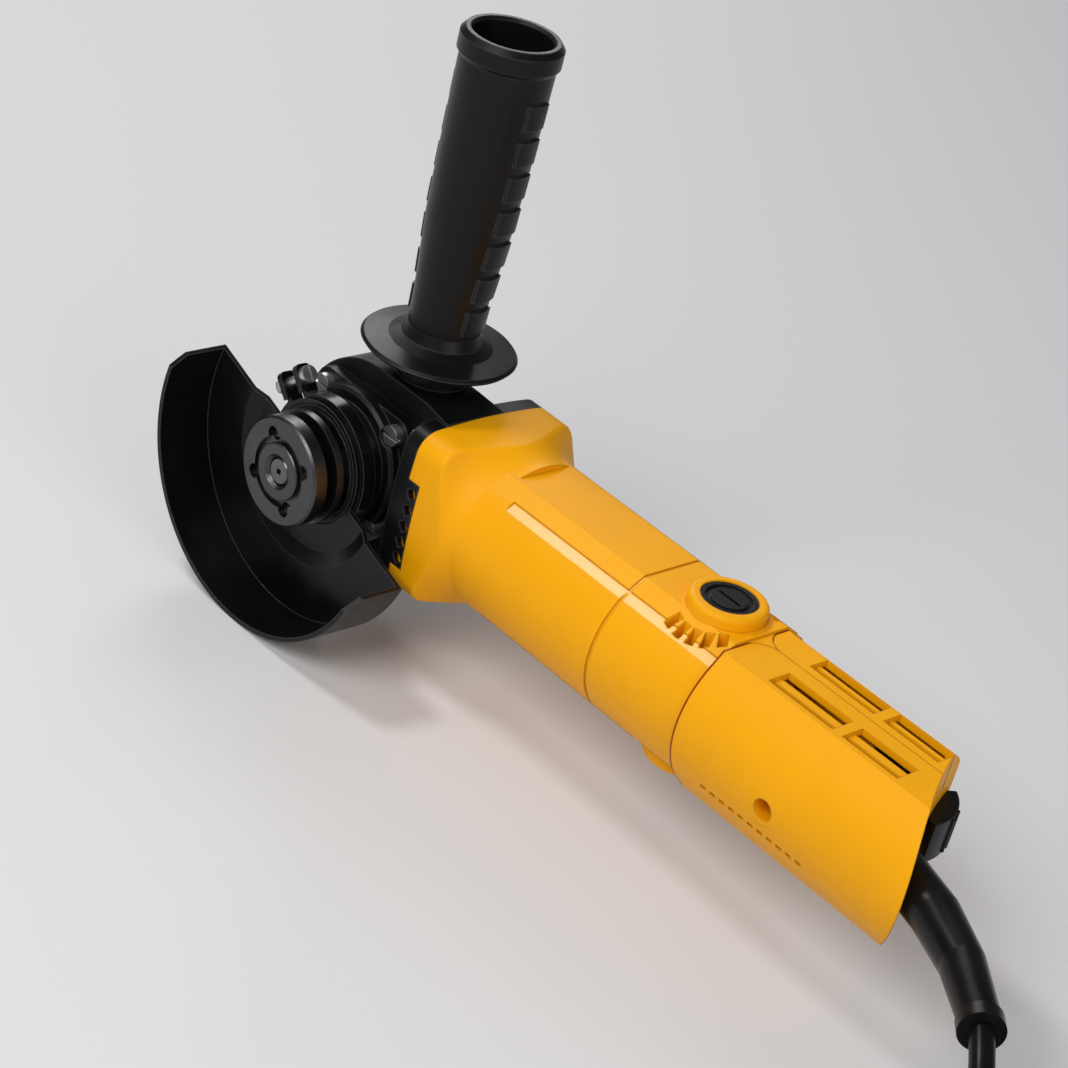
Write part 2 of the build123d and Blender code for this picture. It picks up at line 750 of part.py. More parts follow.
def lock_button():
    cap_back = CASE_BACK_Y - LOCK_TRAVEL - GAP
    cap = turned_y(
        (0, cap_back - LOCK_CAP_T), (LOCK_CAP_R - 1.5, cap_back - LOCK_CAP_T),
        (LOCK_CAP_R, cap_back - LOCK_CAP_T + 1.5), (LOCK_CAP_R, cap_back), (0, cap_back))
    stem = rod_y(LOCK_PIN_R, cap_back, LOCK_PIN_TIP_Y)
    collar = rod_y(LOCK_WELL_R - GAP, cap_back, CASE_BACK_Y + 0.8) - rod_y(
        LOCK_SPRING_R + GAP, cap_back, CASE_BACK_Y + 0.8)
    return Pos(LOCK_HOLE_AT, 0, 0) * (cap + stem + collar)


def lock_spring():
    start = CASE_BACK_Y - LOCK_TRAVEL - GAP
    end = CASE_BACK_Y + LOCK_WELL_DEPTH
    sleeve = rod_y(LOCK_SPRING_R, start, end) - rod_y(LOCK_PIN_R + GAP, start, end)
    return Pos(LOCK_HOLE_AT, 0, 0) * sleeve


def guard():
    inner_r = COLLAR_R + GAP
    outer_r = inner_r + GUARD_COLLAR_T
    sheet = [
        (outer_r, DISH_Y), (DISH_R, DISH_Y), (DISH_SLOPE_R, GUARD_PLATE_Y - SHEET),
        (GUARD_R, GUARD_PLATE_Y - SHEET),
        (GUARD_R, GUARD_RIM_Y), (GUARD_R - SHEET, GUARD_RIM_Y), (GUARD_R - SHEET, GUARD_PLATE_Y),
        (DISH_SLOPE_R - 0.6, GUARD_PLATE_Y), (DISH_R - 0.6, DISH_Y + SHEET), (outer_r, DISH_Y + SHEET),
    ]
    half_disc = revolve(make_face(Polyline(*sheet, close=True)), Axis.Y, GUARD_ARC)
    rim_ends = half_disc.edges().filter_by(GeomType.LINE).group_by(Axis.Y)[-1]
    half_disc = chamfer(rim_ends, RIM_CHAMFER)
    half_disc = Rot(0, -GUARD_TILT, 0) * half_disc
    collar = turned_y((inner_r, GUARD_COLLAR_Y), (outer_r, GUARD_COLLAR_Y), (outer_r, DISH_Y + SHEET),
                      (inner_r, DISH_Y + SHEET))
    slit = Rot(0, -EAR_ANGLE, 0) * slab((inner_r - 2, outer_r + 2), (GUARD_COLLAR_Y, DISH_Y - 1),
                                        (-EAR_GAP / 2 + 1, EAR_GAP / 2 - 1))
    return half_disc + (collar - slit)


def band_radius():
    return COLLAR_R + GAP + GUARD_COLLAR_T + FIT


def guard_clamp_band():
    """Split band round the guard's collar, with two ears drawn together by a screw."""
    inner = band_radius()
    outer = inner + BAND_T
    low = GUARD_COLLAR_Y
    high = low + BAND_WIDTH - FIT
    band = turned_y((inner, low), (outer, low), (outer, high), (inner, high))
    band -= slab((0, 2 * outer), (low, high), (-EAR_GAP / 2, EAR_GAP / 2))
    for side in (1, -1):
        face = side * EAR_GAP / 2
        ear = slab((outer - BAND_T, outer + EAR_HEIGHT), (low, high + 1.4), (face, face + side * EAR_T))
        ear -= slab((outer - 2 * BAND_T, outer), (high, high + 2), (face, face + side * EAR_T))
        tip = ear.edges().filter_by(Axis.Z).group_by(Axis.X)[-1]
        ear = fillet(tip, 2.2)
        band += ear
    band -= rod_z(EAR_SCREW_R + FIT, -EAR_GAP, EAR_GAP, outer + EAR_SCREW_AT, low + (BAND_WIDTH + 1) / 2)
    return Rot(0, -EAR_ANGLE, 0) * band


def guard_clamp_screw():
    at = Pos(band_radius() + BAND_T + EAR_SCREW_AT, GUARD_COLLAR_Y + (BAND_WIDTH + 1) / 2, 0)
    far = EAR_GAP / 2 + EAR_T
    screw = screw_group([Pos(0, 0, far)], EAR_SCREW_R, 2 * far + 4.5, 3.1, 2.4)[0]
    nut = Pos(0, 0, -far - 2.8) * extrude(RegularPolygon(3.2, 6), 2.8)
    nut -= Cylinder(EAR_SCREW_R + FIT, 40)
    return [Rot(0, -EAR_ANGLE, 0) * at * s for s in (screw, nut)]


def handle_stud():
    low = HANDLE_FACE_Z - SOCKET_DEPTH + 5 * FIT
    stud = rod_z(SOCKET_R - FIT, low, HANDLE_FACE_Z)
    stud += rod_z(STUD_R, HANDLE_FACE_Z, HANDLE_BASE_Z + STUD_IN_GRIP)
    return Pos(HANDLE_X, HANDLE_Y, 0) * stud


def grip_outline(proud):
    """Outer (radius, z) points of the grip from root to lip, moved out by proud."""
    base = HANDLE_BASE_Z
    tip = base + HANDLE_LENGTH
    return [
        (GRIP_ROOT_R + proud, base + GRIP_ROOT_AT),
        (GRIP_ROOT_R + 0.4 + proud, base + GRIP_WAIST_AT),
        (GRIP_MID_R - 0.6 + proud, base + GRIP_SWELL_AT),
        (GRIP_MID_R + proud, base + GRIP_MID_AT),
        (GRIP_TOP_R + proud, tip - GRIP_TOP_BACK),
    ]


def side_handle_grip():
    base = HANDLE_BASE_Z
    tip = base + HANDLE_LENGTH
    flange = HANDLE_FLANGE_R
    outline = [
        (STUD_R + FIT, base), (flange - 8, base), (flange - 1, base + 1.2), (flange, base + 2.4),
        (flange - 1, base + 3.4), (flange - 9, base + 4.4), (GRIP_ROOT_R + 1.4, base + 6.2),
    ]
    outline += grip_outline(0)
    outline += [
        (GRIP_TOP_R, tip - 9), (GRIP_LIP_R, tip - 7.5), (GRIP_LIP_R, tip - 2), (GRIP_LIP_R - 1.6, tip),
        (GRIP_BORE_R + 0.8, tip), (GRIP_BORE_R, tip - 1), (GRIP_BORE_R, tip - GRIP_BORE_DEPTH),
        (0, tip - GRIP_BORE_DEPTH), (0, base + STUD_IN_GRIP + FIT),
        (STUD_R + FIT, base + STUD_IN_GRIP + FIT),
    ]
    grip = turned_z(*outline)
    proud = grip_outline(PAD_RISE)
    skin = turned_z(*proud, (0, proud[-1][1]), (0, proud[0][1]))
    for turn in PAD_TURNS:
        for i in range(PAD_COUNT):
            height = base + PAD_START + i * PAD_PITCH
            pad = Pos(GRIP_MID_R, 0, height) * Box(GRIP_MID_R, PAD_W - PAD_NARROWING * i, PAD_H)
            grip += skin & (Rot(0, 0, turn) * pad)
    return Pos(HANDLE_X, HANDLE_Y, 0) * grip


def barrel_section(inset=0.0):
    """Section of the barrel, drawn as (y, z): a circle with a flat and two bevels above and below."""
    radius = BARREL_R - inset
    flat = BARREL_FLAT - inset
    turn = math.radians(BEVEL_ANGLE)
    bevel = (radius * math.sin(turn), radius * math.cos(turn))
    half = BARREL_FLAT_W
    edges = []
    for side in (1, -1):
        edges.append(Line((-side * half, side * flat), (side * half, side * flat)))
        edges.append(Line((side * half, side * flat), (side * bevel[0], side * bevel[1])))
        edges.append(ThreePointArc((side * bevel[0], side * bevel[1]), (side * radius, 0),
                                   (side * bevel[0], -side * bevel[1])))
        edges.append(Line((side * bevel[0], -side * bevel[1]), (side * half, -side * flat)))
    return make_face(edges)


def motor_housing():
    block = along_x(flange_section(), JOINT_X, SHOULDER_X)
    corner = CASE_HALF * math.sqrt(2)
    foot = BARREL_R - SWOOP_FOOT
    swoop = make_face([
        Polyline((SHOULDER_X, 0), (JOINT_X, 0), (JOINT_X, corner), (BLOCK_END_X, corner)),
        ThreePointArc((BLOCK_END_X, corner), SWOOP_MIDDLE, (SHOULDER_X, foot)),
        Line((SHOULDER_X, foot), (SHOULDER_X, 0)),
    ])
    block &= revolve(swoop, Axis.X)
    ridge = [edge for edge in block.edges() if edge.geom_type != GeomType.LINE
             and JOINT_X - 1 > edge.center().X > SHOULDER_X + 1]
    housing = fillet(ridge, RIDGE_R)
    housing += along_x(barrel_section(), BLOCK_END_X, HOUSING_END_X)
    for boss in both_sides(brush_boss()):
        housing += boss
    for piece in both_sides(tongue(GAP / 2, COVER_FLAT - COVER_WALL, COVER_FLAT)):
        housing += piece
    housing -= rod_x(FAN_ROOM_R, JOINT_X, FAN_ROOM_X)
    housing -= rod_x(STATOR_R + FIT, JOINT_X, HOUSING_END_X)
    bridge = rod_x(STATOR_R + 1, REAR_BEARING_X - BRIDGE_T + 1, REAR_BEARING_X + REAR_BEARING[2])
    bridge -= rod_x(REAR_BEARING[1] + FIT, REAR_BEARING_X, REAR_BEARING_X + REAR_BEARING[2])
    bridge -= rod_x(REAR_SHAFT_R + 1, HOUSING_END_X, REAR_BEARING_X + 1)
    for place in PolarLocations((STATOR_R + REAR_BEARING[1]) / 2 + 0.5, 6, start_angle=30):
        bridge -= Pos(HOUSING_END_X, 0, 0) * Rot(0, 90, 0) * place * Cylinder(4.2, 30)
    housing += bridge
    ring = along_x(barrel_section(-1), GROOVE_X, GROOVE_X - GROOVE_W)
    ring -= along_x(barrel_section(GROOVE_DEPTH), GROOVE_X, GROOVE_X - GROOVE_W)
    housing -= ring
    for strip in both_sides(barrel_strip()):
        housing -= strip
        housing -= mirror(strip, about=Plane.XZ)
    for side in (1, -1):
        housing -= slab((JOINT_X - WINDOW_X, JOINT_X), (side * (CASE_HALF - BAR_T - GAP), side * CASE_HALF),
                        (WINDOW_LOW_Z, WINDOW_HIGH_Z))
    for y, z in corner_places(HEAD_SCREW_AT):
        housing -= rod_x(HEAD_SCREW_R, JOINT_X - HEAD_SCREW_LENGTH + FLANGE_T - 1, JOINT_X, y, z)
    for cut in brush_cuts():
        for piece in both_sides(cut):
            housing -= piece
    return housing


def barrel_strip():
    """Cut for the narrow flat between a bevel and the round, sunk along its upper edge."""
    cut = Box(STRIP_X - HOUSING_END_X + GAP, STRIP_W, STRIP_W, align=(Align.MAX, Align.MAX, Align.MIN))
    place = Rot(-STRIP_ANGLE, 0, 0) * Pos(STRIP_X, 0, BARREL_R) * Rot(STRIP_TILT, 0, 0)
    return place * cut


def tongue(inset, low, high):
    """Point of the housing between the rounded front corners of the two rear cover halves."""
    radius = TONGUE_R + inset
    back = HOUSING_END_X - TONGUE_R
    form = slab((back + 2 * inset, HOUSING_END_X + 4), (-TONGUE_R, TONGUE_R), (low, high))
    for side in (1, -1):
        form -= rod_z(radius, low - 1, high + 1, back, side * TONGUE_R)
    return form


def brush_boss():
    boss = rod_z(BOSS_R, STATOR_R - 3, BOSS_Z, BRUSH_X)
    return fillet(boss.edges().group_by(Axis.Z)[-1], BOSS_ROUND)


def brush_cuts():
    """Bore and cap seat of a brush boss, and the curved row of vents beside it."""
    cuts = [
        rod_z(HOLDER_R + FIT, 0, BOSS_Z, BRUSH_X),
        rod_z(CAP_R + FIT, BOSS_Z - CAP_T, BOSS_Z + 1, BRUSH_X),
    ]
    vent = slab((VENT_AT - VENT_L / 2, VENT_AT + VENT_L / 2), (-VENT_W / 2, VENT_W / 2),
                (VENT_FLOOR_Z, VENT_TOP_Z))
    for side in (1, -1):
        for i in range(VENT_COUNT):
            turn = side * (90 + VENT_LEAN + VENT_STEP * (i - (VENT_COUNT - 1) / 2))
            cuts.append(Pos(BRUSH_X, 0, 0) * Rot(0, 0, turn) * vent)
    return cuts


def brush_holders():
    low = HOLDER_INNER_Z
    high = BOSS_Z - CAP_T
    sleeve = rod_z(HOLDER_R, low, high, BRUSH_X)
    sleeve -= slab((BRUSH_X - BRUSH_XW / 2 - FIT, BRUSH_X + BRUSH_XW / 2 + FIT),
                   (-BRUSH_Y / 2 - FIT, BRUSH_Y / 2 + FIT), (low - 1, high + 1))
    return both_sides(sleeve)


def carbon_brushes():
    brush = slab((BRUSH_X - BRUSH_XW / 2, BRUSH_X + BRUSH_XW / 2), (-BRUSH_Y / 2, BRUSH_Y / 2),
                 (COMMUTATOR_R + GAP, COMMUTATOR_R + 11))
    return both_sides(brush)


def brush_springs():
    low = COMMUTATOR_R + 11
    spring = rod_z(BRUSH_Y / 2 - FIT, low, BOSS_Z - CAP_T, BRUSH_X)
    return both_sides(spring - rod_z(BRUSH_Y / 2 - 0.8, low, BOSS_Z - CAP_T, BRUSH_X))


def brush_caps():
    """Screw-in caps with a sunk face and a driver slot."""
    low = BOSS_Z - CAP_T
    cap = rod_z(CAP_R, low, BOSS_Z - 0.4, BRUSH_X)
    sunk = BOSS_Z - CAP_SINK
    cap -= rod_z(CAP_R - CAP_RIM, sunk, BOSS_Z, BRUSH_X) - rod_z(CAP_HUB_R, sunk, BOSS_Z, BRUSH_X)
    cap -= Pos(BRUSH_X, 0, BOSS_Z) * Box(1.5 * CAP_HUB_R, CAP_SLOT_W, CAP_T)
    return both_sides(cap)


def fan_baffle():
    """Ring that leads the air into the fan, against the step of the fan room."""
    back = FAN_ROOM_X
    ring = turned_x((back, STATOR_R - 5), (back, FAN_ROOM_R - FIT), (back + BAFFLE_T, FAN_ROOM_R - FIT),
                    (back + BAFFLE_T, STATOR_R - 5))
    return ring


def armature_shaft():
    bearing_end = REAR_BEARING_X + GAP
    step = -pinion_back()
    front = -pinion_front() + PINION_NUT_T + SHAFT_TIP
    return turned_x(
        (front, 0), (front, PINION_SHAFT_R), (step, PINION_SHAFT_R),
        (step, SHAFT_R), (SHAFT_REAR_STEP_X, SHAFT_R), (SHAFT_REAR_STEP_X, REAR_SHAFT_R),
        (bearing_end, REAR_SHAFT_R), (bearing_end, 0),
    )


def armature_core():
    """Slotted stack of the armature."""
    core = rod_x(CORE_R, CORE_END_X, CORE_START_X) - rod_x(SHAFT_R + FIT, CORE_END_X, CORE_START_X)
    slot = slab((CORE_END_X, CORE_START_X), (-1.0, 1.0), (CORE_R - 1.6, CORE_R + 1))
    for i in range(COMMUTATOR_BARS):
        core -= Rot(360 * i / COMMUTATOR_BARS, 0, 0) * slot
    return core


def armature_windings():
    """Domed winding heads at both ends of the stack."""
    bore = SHAFT_R + FIT
    front_end = CORE_START_X + FRONT_HEAD
    front = turned_x((CORE_START_X, bore), (front_end, bore), (front_end, CORE_R - 5),
                     (front_end - 3, CORE_R - 2), (CORE_START_X, CORE_R - 1))
    rear_end = CORE_END_X - REAR_HEAD
    rear = turned_x((CORE_END_X, bore), (rear_end, bore), (rear_end, CORE_R - 6),
                    (rear_end + 4, CORE_R - 2), (CORE_END_X, CORE_R - 1))
    return [front, rear]


def commutator():
    end = COMMUTATOR_X + COMMUTATOR_LENGTH
    drum = turned_x((COMMUTATOR_X, SHAFT_R + FIT), (COMMUTATOR_X, COMMUTATOR_R), (end, COMMUTATOR_R),
                    (end, COMMUTATOR_R + 1.2), (end + 3, COMMUTATOR_R + 1.2), (end + 3, SHAFT_R + FIT))
    slot = slab((COMMUTATOR_X, end), (-0.3, 0.3), (COMMUTATOR_R - 1, COMMUTATOR_R + 1))
    for i in range(COMMUTATOR_BARS):
        drum -= Rot(360 * (i + 0.5) / COMMUTATOR_BARS, 0, 0) * slot
    return drum


def fan():
    """Radial fan: back plate, hub and blades."""
    start = FAN_X
    end = start + FAN_W
    plate = end - FAN_PLATE_T
    bore = SHAFT_R + FIT
    wheel = turned_x((start, bore), (start, FAN_HUB_R), (plate, FAN_HUB_R + 3), (plate, FAN_R),
                     (end, FAN_R), (end, bore))
    blade = slab((start, end - FAN_PLATE_T / 2), (-FAN_BLADE_T / 2, FAN_BLADE_T / 2),
                 (FAN_HUB_R, FAN_R - 0.4))
    blades = [Rot(360 * i / FAN_BLADES, 0, 0) * blade for i in range(FAN_BLADES)]
    return wheel.fuse(*blades)


def stator_core():
    """Ring of laminations with two poles facing the armature."""
    length = (CORE_END_X, CORE_START_X)
    core = rod_x(STATOR_R, *length) - rod_x(STATOR_R - YOKE_T, *length)
    pole = slab(length, (-POLE_HALF, POLE_HALF), (CORE_R, STATOR_R - YOKE_T / 2))
    core = core.fuse(*both_sides(pole))
    return core - rod_x(CORE_R + POLE_GAP, *length)


def field_windings():
    """Coils round the two poles, in the room on either side of them and looped past the stack's ends."""
    ends = (CORE_END_X - COIL_HEAD, CORE_START_X + COIL_HEAD)
    coil = rod_x(STATOR_R - YOKE_T - FIT, *ends) - rod_x(CORE_R + 2, *ends)
    coil &= slab(ends, (POLE_HALF + FIT, STATOR_R), (-COIL_HALF_H, COIL_HALF_H))
    return [coil, mirror(coil, about=Plane.XZ)]


def rear_section(inset=0.0):
    """Section of the rear cover, drawn as (y, z): flats, ridges, and a bulging near and far side."""
    flat = COVER_FLAT - inset
    near, far = NEAR_FLAT_W - inset * 0.4, inset * 0.4 - FAR_FLAT_W
    near_ridge = (NEAR_RIDGE[0] - inset * 0.8, NEAR_RIDGE[1] - inset * 0.6)
    far_ridge = (inset * 0.8 - FAR_RIDGE[0], FAR_RIDGE[1] - inset * 0.6)
    return make_face([
        Polyline(far_ridge, (far, flat), (near, flat), near_ridge),
        ThreePointArc(near_ridge, (COVER_SIDE - inset, 0), (near_ridge[0], -near_ridge[1])),
        Polyline((near_ridge[0], -near_ridge[1]), (near, -flat), (far, -flat),
                 (far_ridge[0], -far_ridge[1])),
        ThreePointArc((far_ridge[0], -far_ridge[1]), (inset - FAR_SIDE, 0), far_ridge),
    ])


def tail_plan_view(inset=0.0):
    """Plan of the tail, drawn as (x, y): the end slants forwards to the far side, where the switch is."""
    near = COVER_SIDE + 1 - inset
    far = inset - FAR_SIDE - 1
    shift = inset * TAIL_SLANT
    hind = (TAIL_X + shift, near)
    middle = (TAIL_MID[0] + shift, TAIL_MID[1])
    turn = (TAIL_FAR[0] + shift, TAIL_FAR[1])
    bulge = (turn[0] + 0.3 * TAIL_CORNER, turn[1] + 0.7 * (far - turn[1]))
    front = (turn[0] + TAIL_CORNER, far)
    return make_face([
        ThreePointArc(hind, middle, turn),
        ThreePointArc(turn, bulge, front),
        Polyline(front, (HOUSING_END_X, far), (HOUSING_END_X, near), hind),
    ])


def tail_side_view(inset=0.0):
    """Side view of the tail, drawn as (x, z): a bulging end."""
    flat = COVER_FLAT + 1 - inset
    hind = TAIL_X + inset * TAIL_SLANT
    corner = hind + TAIL_ROUND
    return make_face([
        ThreePointArc((corner, -flat), (hind, 0), (corner, flat)),
        Polyline((corner, flat), (HOUSING_END_X, flat), (HOUSING_END_X, -flat), (corner, -flat)),
    ])


def tail_form(inset=0.0):
    height = 2 * COVER_SIDE + 10
    form = along_x(rear_section(inset), TAIL_X, HOUSING_END_X - SEAM)
    side_view = Rot(90, 0, 0) * tail_side_view(inset)
    form &= Pos(0, -height / 2, 0) * extrude(side_view, height, dir=(0, 1, 0))
    form &= Pos(0, 0, -height / 2) * extrude(tail_plan_view(inset), height, dir=(0, 0, 1))
    return form


def boot_point(share):
    """Place and direction on the boot's arc, at a share of its length."""
    first, last = (math.radians(a) for a in BOOT_SLOPE)
    radius = BOOT_LENGTH / (last - first)
    slope = first + (last - first) * share
    x = BOOT_START[0] - radius * (math.sin(slope) - math.sin(first))
    y = BOOT_START[1] + radius * (math.cos(first) - math.cos(slope))
    return Vector(x, y, 0), Vector(-math.cos(slope), math.sin(slope), 0)


def boot_loft(stations):
    """Tapered body through circles at (share of length, radius) on the boot's arc."""
    faces = []
    for share, radius in stations:
        at, along = boot_point(share)
        faces.append(Plane(at, x_dir=(0, 0, 1), z_dir=along) * Circle(radius))
    return loft(faces, ruled=True)


def cord_boot():
    """Rubber sleeve with a wall flange, a long taper and an end ring."""
    flange = boot_loft([(0.0, BOOT_WALL_FLANGE_R), (0.05, BOOT_WALL_FLANGE_R)])
    boot = flange & tail_form(COVER_WALL + FIT)
    boot += boot_loft([(0.0, BOOT_ROOT_R), (0.3, BOOT_ROOT_R), (0.6, (BOOT_ROOT_R + BOOT_TIP_R) / 2),
                       (0.93, BOOT_TIP_R)])
    boot += boot_loft([(0.93, BOOT_RING_R), (1.0, BOOT_RING_R)])
    return boot


def rear_shell():
    shell = tail_form() - tail_form(COVER_WALL)
    for piece in both_sides(tongue(-GAP / 2, COVER_FLAT - COVER_WALL - 1, COVER_FLAT + 1)):
        shell -= piece
    for rows in SLOT_ROWS:
        for span in SLOT_SPANS:
            width = (min(rows) - SLOT_W / 2, max(rows) + SLOT_W / 2)
            window = slab(span, width, (COVER_FLAT - SLOT_SINK, COVER_FLAT + 1))
            for row in rows:
                width = (row - SLOT_W / 2, row + SLOT_W / 2)
                window += slab(span, width, (COVER_FLAT / 2, COVER_FLAT + 1))
            for piece in both_sides(window):
                shell -= piece
    shell -= lever_opening()
    shell -= boot_loft([(share, BOOT_ROOT_R + FIT) for share in (-0.3, 0.0, 0.3, 0.6)])
    return shell


def lever_opening():
    """Slot in the slanted tail end that the switch lever swings in."""
    spare = LEVER_SWING + 4
    return lever_sector(LEVER_LOW + spare, LEVER_HIGH - spare, LEVER_R + 12, LEVER_W / 2 + GAP)


def lever_sector(low, high, radius, half_width):
    """Sector about the lever's pivot between two angles, from forwards round the far side."""
    points = [lever_point(angle, radius) for angle in (low, (low + high) / 2, high)]
    outline = make_face([Line((0, 0), points[0]), ThreePointArc(*points), Line(points[2], (0, 0))])
    return Pos(PIVOT_X, PIVOT_Y, 0) * extrude(outline, half_width, both=True)


def lever_point(angle, radius):
    return radius * math.cos(math.radians(angle)), -radius * math.sin(math.radians(angle))


def switch_lever():
    """Toggle: a drum sector that stands out of the tail, its thumb ridges and its pivot bore."""
    pivot = Pos(PIVOT_X, PIVOT_Y, 0)
    lever = lever_sector(LEVER_LOW, LEVER_HIGH, LEVER_R, LEVER_W / 2)
    lever += pivot * Cylinder(PIVOT_R + 2, LEVER_W)
    for step in (-8, 0, 8):
        x, y = lever_point((LEVER_LOW + LEVER_HIGH) / 2 + step, LEVER_R)
        lever += pivot * Pos(x, y, 0) * Cylinder(0.8, LEVER_W - 2)
    return lever - pivot * Cylinder(PIVOT_R + RUN, LEVER_W + 2)


def switch_front():
    return PIVOT_X + PIVOT_R + 2 + GAP + SWITCH_LENGTH


def switch_body():
    """Switch block with two cheeks and the pin that carries the lever."""
    back = PIVOT_X + PIVOT_R + 2 + 2 * GAP
    half = SWITCH_W / 2
    body = slab((back, switch_front()), (PIVOT_Y - SWITCH_H / 2, PIVOT_Y + SWITCH_H / 2), (-half, half))
    for side in (1, -1):
        cheek = (side * (LEVER_W / 2 + GAP), side * half)
        body += slab((PIVOT_X - 3, back), (PIVOT_Y - 3.5, PIVOT_Y + 3.5), cheek)
    return body + Pos(PIVOT_X, PIVOT_Y, 0) * Cylinder(PIVOT_R, SWITCH_W)


def switch_cradle(wall, block):
    """Rib of a cover half, from its wall to the switch block."""
    front = switch_front() - CRADLE_T
    return slab((front - CRADLE_T, front), (wall, block), (-2 * CRADLE_T, 2 * CRADLE_T))


def rear_cover_near():
    room = slab((TAIL_X - 5, HOUSING_END_X), (SEAM / 2, COVER_ROOM), (-COVER_ROOM, COVER_ROOM))
    half = rear_shell() & room
    tube = rod_y(SCREW_BOSS_R, SEAM / 2, COVER_SIDE - 1, SCREW_X, SCREW_Z)
    half += tube
    half -= rod_y(SCREW_RECESS_R, SCREW_FLOOR_Y, COVER_SIDE + 5, SCREW_X, SCREW_Z)
    half -= rod_y(SCREW_R + FIT, 0, COVER_SIDE, SCREW_X, SCREW_Z)
    for i in range(TINY_COUNT):
        x = TINY_START_X - i * TINY_PITCH
        half -= slab((x - TINY_L / 2, x + TINY_L / 2), (20, 40), (TINY_Z - TINY_W / 2, TINY_Z + TINY_W / 2))
    half += switch_cradle(COVER_SIDE - 1, PIVOT_Y + SWITCH_H / 2)
    return half


def rear_cover_far():
    room = slab((TAIL_X - 5, HOUSING_END_X), (-COVER_ROOM, -SEAM / 2), (-COVER_ROOM, COVER_ROOM))
    half = rear_shell() & room
    half += rod_y(SCREW_BOSS_R, 1 - FAR_SIDE, -SEAM / 2, SCREW_X, SCREW_Z)
    half -= rod_y(SCREW_R, -12, 0, SCREW_X, SCREW_Z)
    half += switch_cradle(1 - FAR_SIDE, PIVOT_Y - SWITCH_H / 2)
    return half


def rear_cover_screw():
    place = Pos(SCREW_X, SCREW_FLOOR_Y, SCREW_Z) * Rot(-90, 0, 0)
    return screw_group([place], SCREW_R - FIT / 2, SCREW_FLOOR_Y + 11, SCREW_RECESS_R - 0.4, 2.2)


def cord_clamp():
    """Saddle that holds the cord's sheath inside the tail."""
    at, along = boot_point(-0.16)
    frame = Plane(at, x_dir=(0, 0, 1), z_dir=along)
    saddle = frame * Box(21, 11, 7)
    return saddle - boot_loft([(-0.24, CORD_D / 2 + FIT), (0.0, CORD_D / 2 + FIT)])


def inner_cord():
    """Start of the sheath inside the tail, held by the clamp."""
    return boot_loft([(-0.24, CORD_D / 2), (0.0, CORD_D / 2)])


def power_cord():
    """Free stretch of the cord, from the boot's end to the coil."""
    points = [boot_point(1.0)[0]] + [Vector(*point) for point in CORD_ROUTE]
    path = FilletPolyline(*points, radius=CORD_BEND)
    section = Plane(path @ 0, z_dir=path % 0) * Circle(CORD_D / 2)
    tube = sweep(section, path)
    print("free length:", round(path.length, 1), "boot's end:", points[0])
    print("cord volume over section times length:", round(tube.volume / (section.area * path.length), 4))
    return tube


def coil_start():
    """Where the coil's lead begins, and the centre that the coil winds round."""
    begin = Vector(*CORD_ROUTE[-1])
    centre = begin + Vector(-CORD_D, -COIL_OUT_R, 0)
    return begin, centre


def coil_turns():
    return COIL_TURNS + CLIMB_TURNS + COIL_LAST_TURNS


def eased(share):
    share = min(1.0, max(0.0, share))
    return share * share * (3 - 2 * share)


def coil_point(turns):
    """Centre line of the coil after a number of turns: in on top, down, and out on the floor."""
    begin, centre = coil_start()
    reverse = COIL_TURNS + CLIMB_TURNS / 2
    total = coil_turns()
    if turns <= reverse:
        radius = COIL_OUT_R + (COIL_IN_R - COIL_OUT_R) * turns / reverse
    else:
        radius = COIL_IN_R + (COIL_END_R - COIL_IN_R) * (turns - reverse) / (total - reverse)
    climb = eased((turns - COIL_TURNS) / CLIMB_TURNS)
    landing = eased((turns - total) / COIL_LANDING + 1)
    height = COIL_LAYER * climb - (begin.Z + COIL_LAYER - FLOOR_Z - PLUG_HALF_H) * landing
    angle = math.radians(90 + 360 * turns)
    return centre + Vector(radius * math.cos(angle), radius * math.sin(angle), height)


def coil_heading(turns):
    step = 1e-4
    return (coil_point(turns + step) - coil_point(turns - step)).normalized()


def coil_end():
    """Where the coil's last lead ends in the plug, and its level heading there."""
    turns = coil_turns()
    heading = coil_point(turns) - coil_point(turns - 1e-4)
    heading = Vector(heading.X, heading.Y, 0).normalized()
    return coil_point(turns), heading


def coil_stations():
    """Turn counts about a quarter turn apart, with a station at each change of layer."""
    stations = [0.0]
    for span in (COIL_TURNS, CLIMB_TURNS, COIL_LAST_TURNS):
        pieces = math.ceil(4 * span)
        stations += [stations[-1] + span / pieces * (i + 1) for i in range(pieces)]
    return stations


def biarc(start, start_dir, end, end_dir):
    """Two tangent arcs from one point and direction to another."""
    chord = end - start
    spread = 2 * (1 - start_dir.dot(end_dir))
    along = chord.dot(start_dir + end_dir)
    reach = (math.sqrt(along * along + spread * chord.dot(chord)) - along) / spread
    middle = (start + end + (start_dir - end_dir) * reach) * 0.5
    first = TangentArc(start, middle, tangent=start_dir)
    return [first, TangentArc(middle, end, tangent=first % 1)]


def coil_path():
    begin, centre = coil_start()
    last, way_out = coil_end()
    stations = coil_stations()
    points = [coil_point(turns) for turns in stations]
    headings = [Vector(-1, 0, 0)] + [coil_heading(turns) for turns in stations[1:-1]] + [way_out]
    edges = [Line(begin, points[0])]
    for i in range(len(points) - 1):
        edges += biarc(points[i], headings[i], points[i + 1], headings[i + 1])
    edges.append(Line(last, last + way_out * CORD_D))
    return Wire(edges)


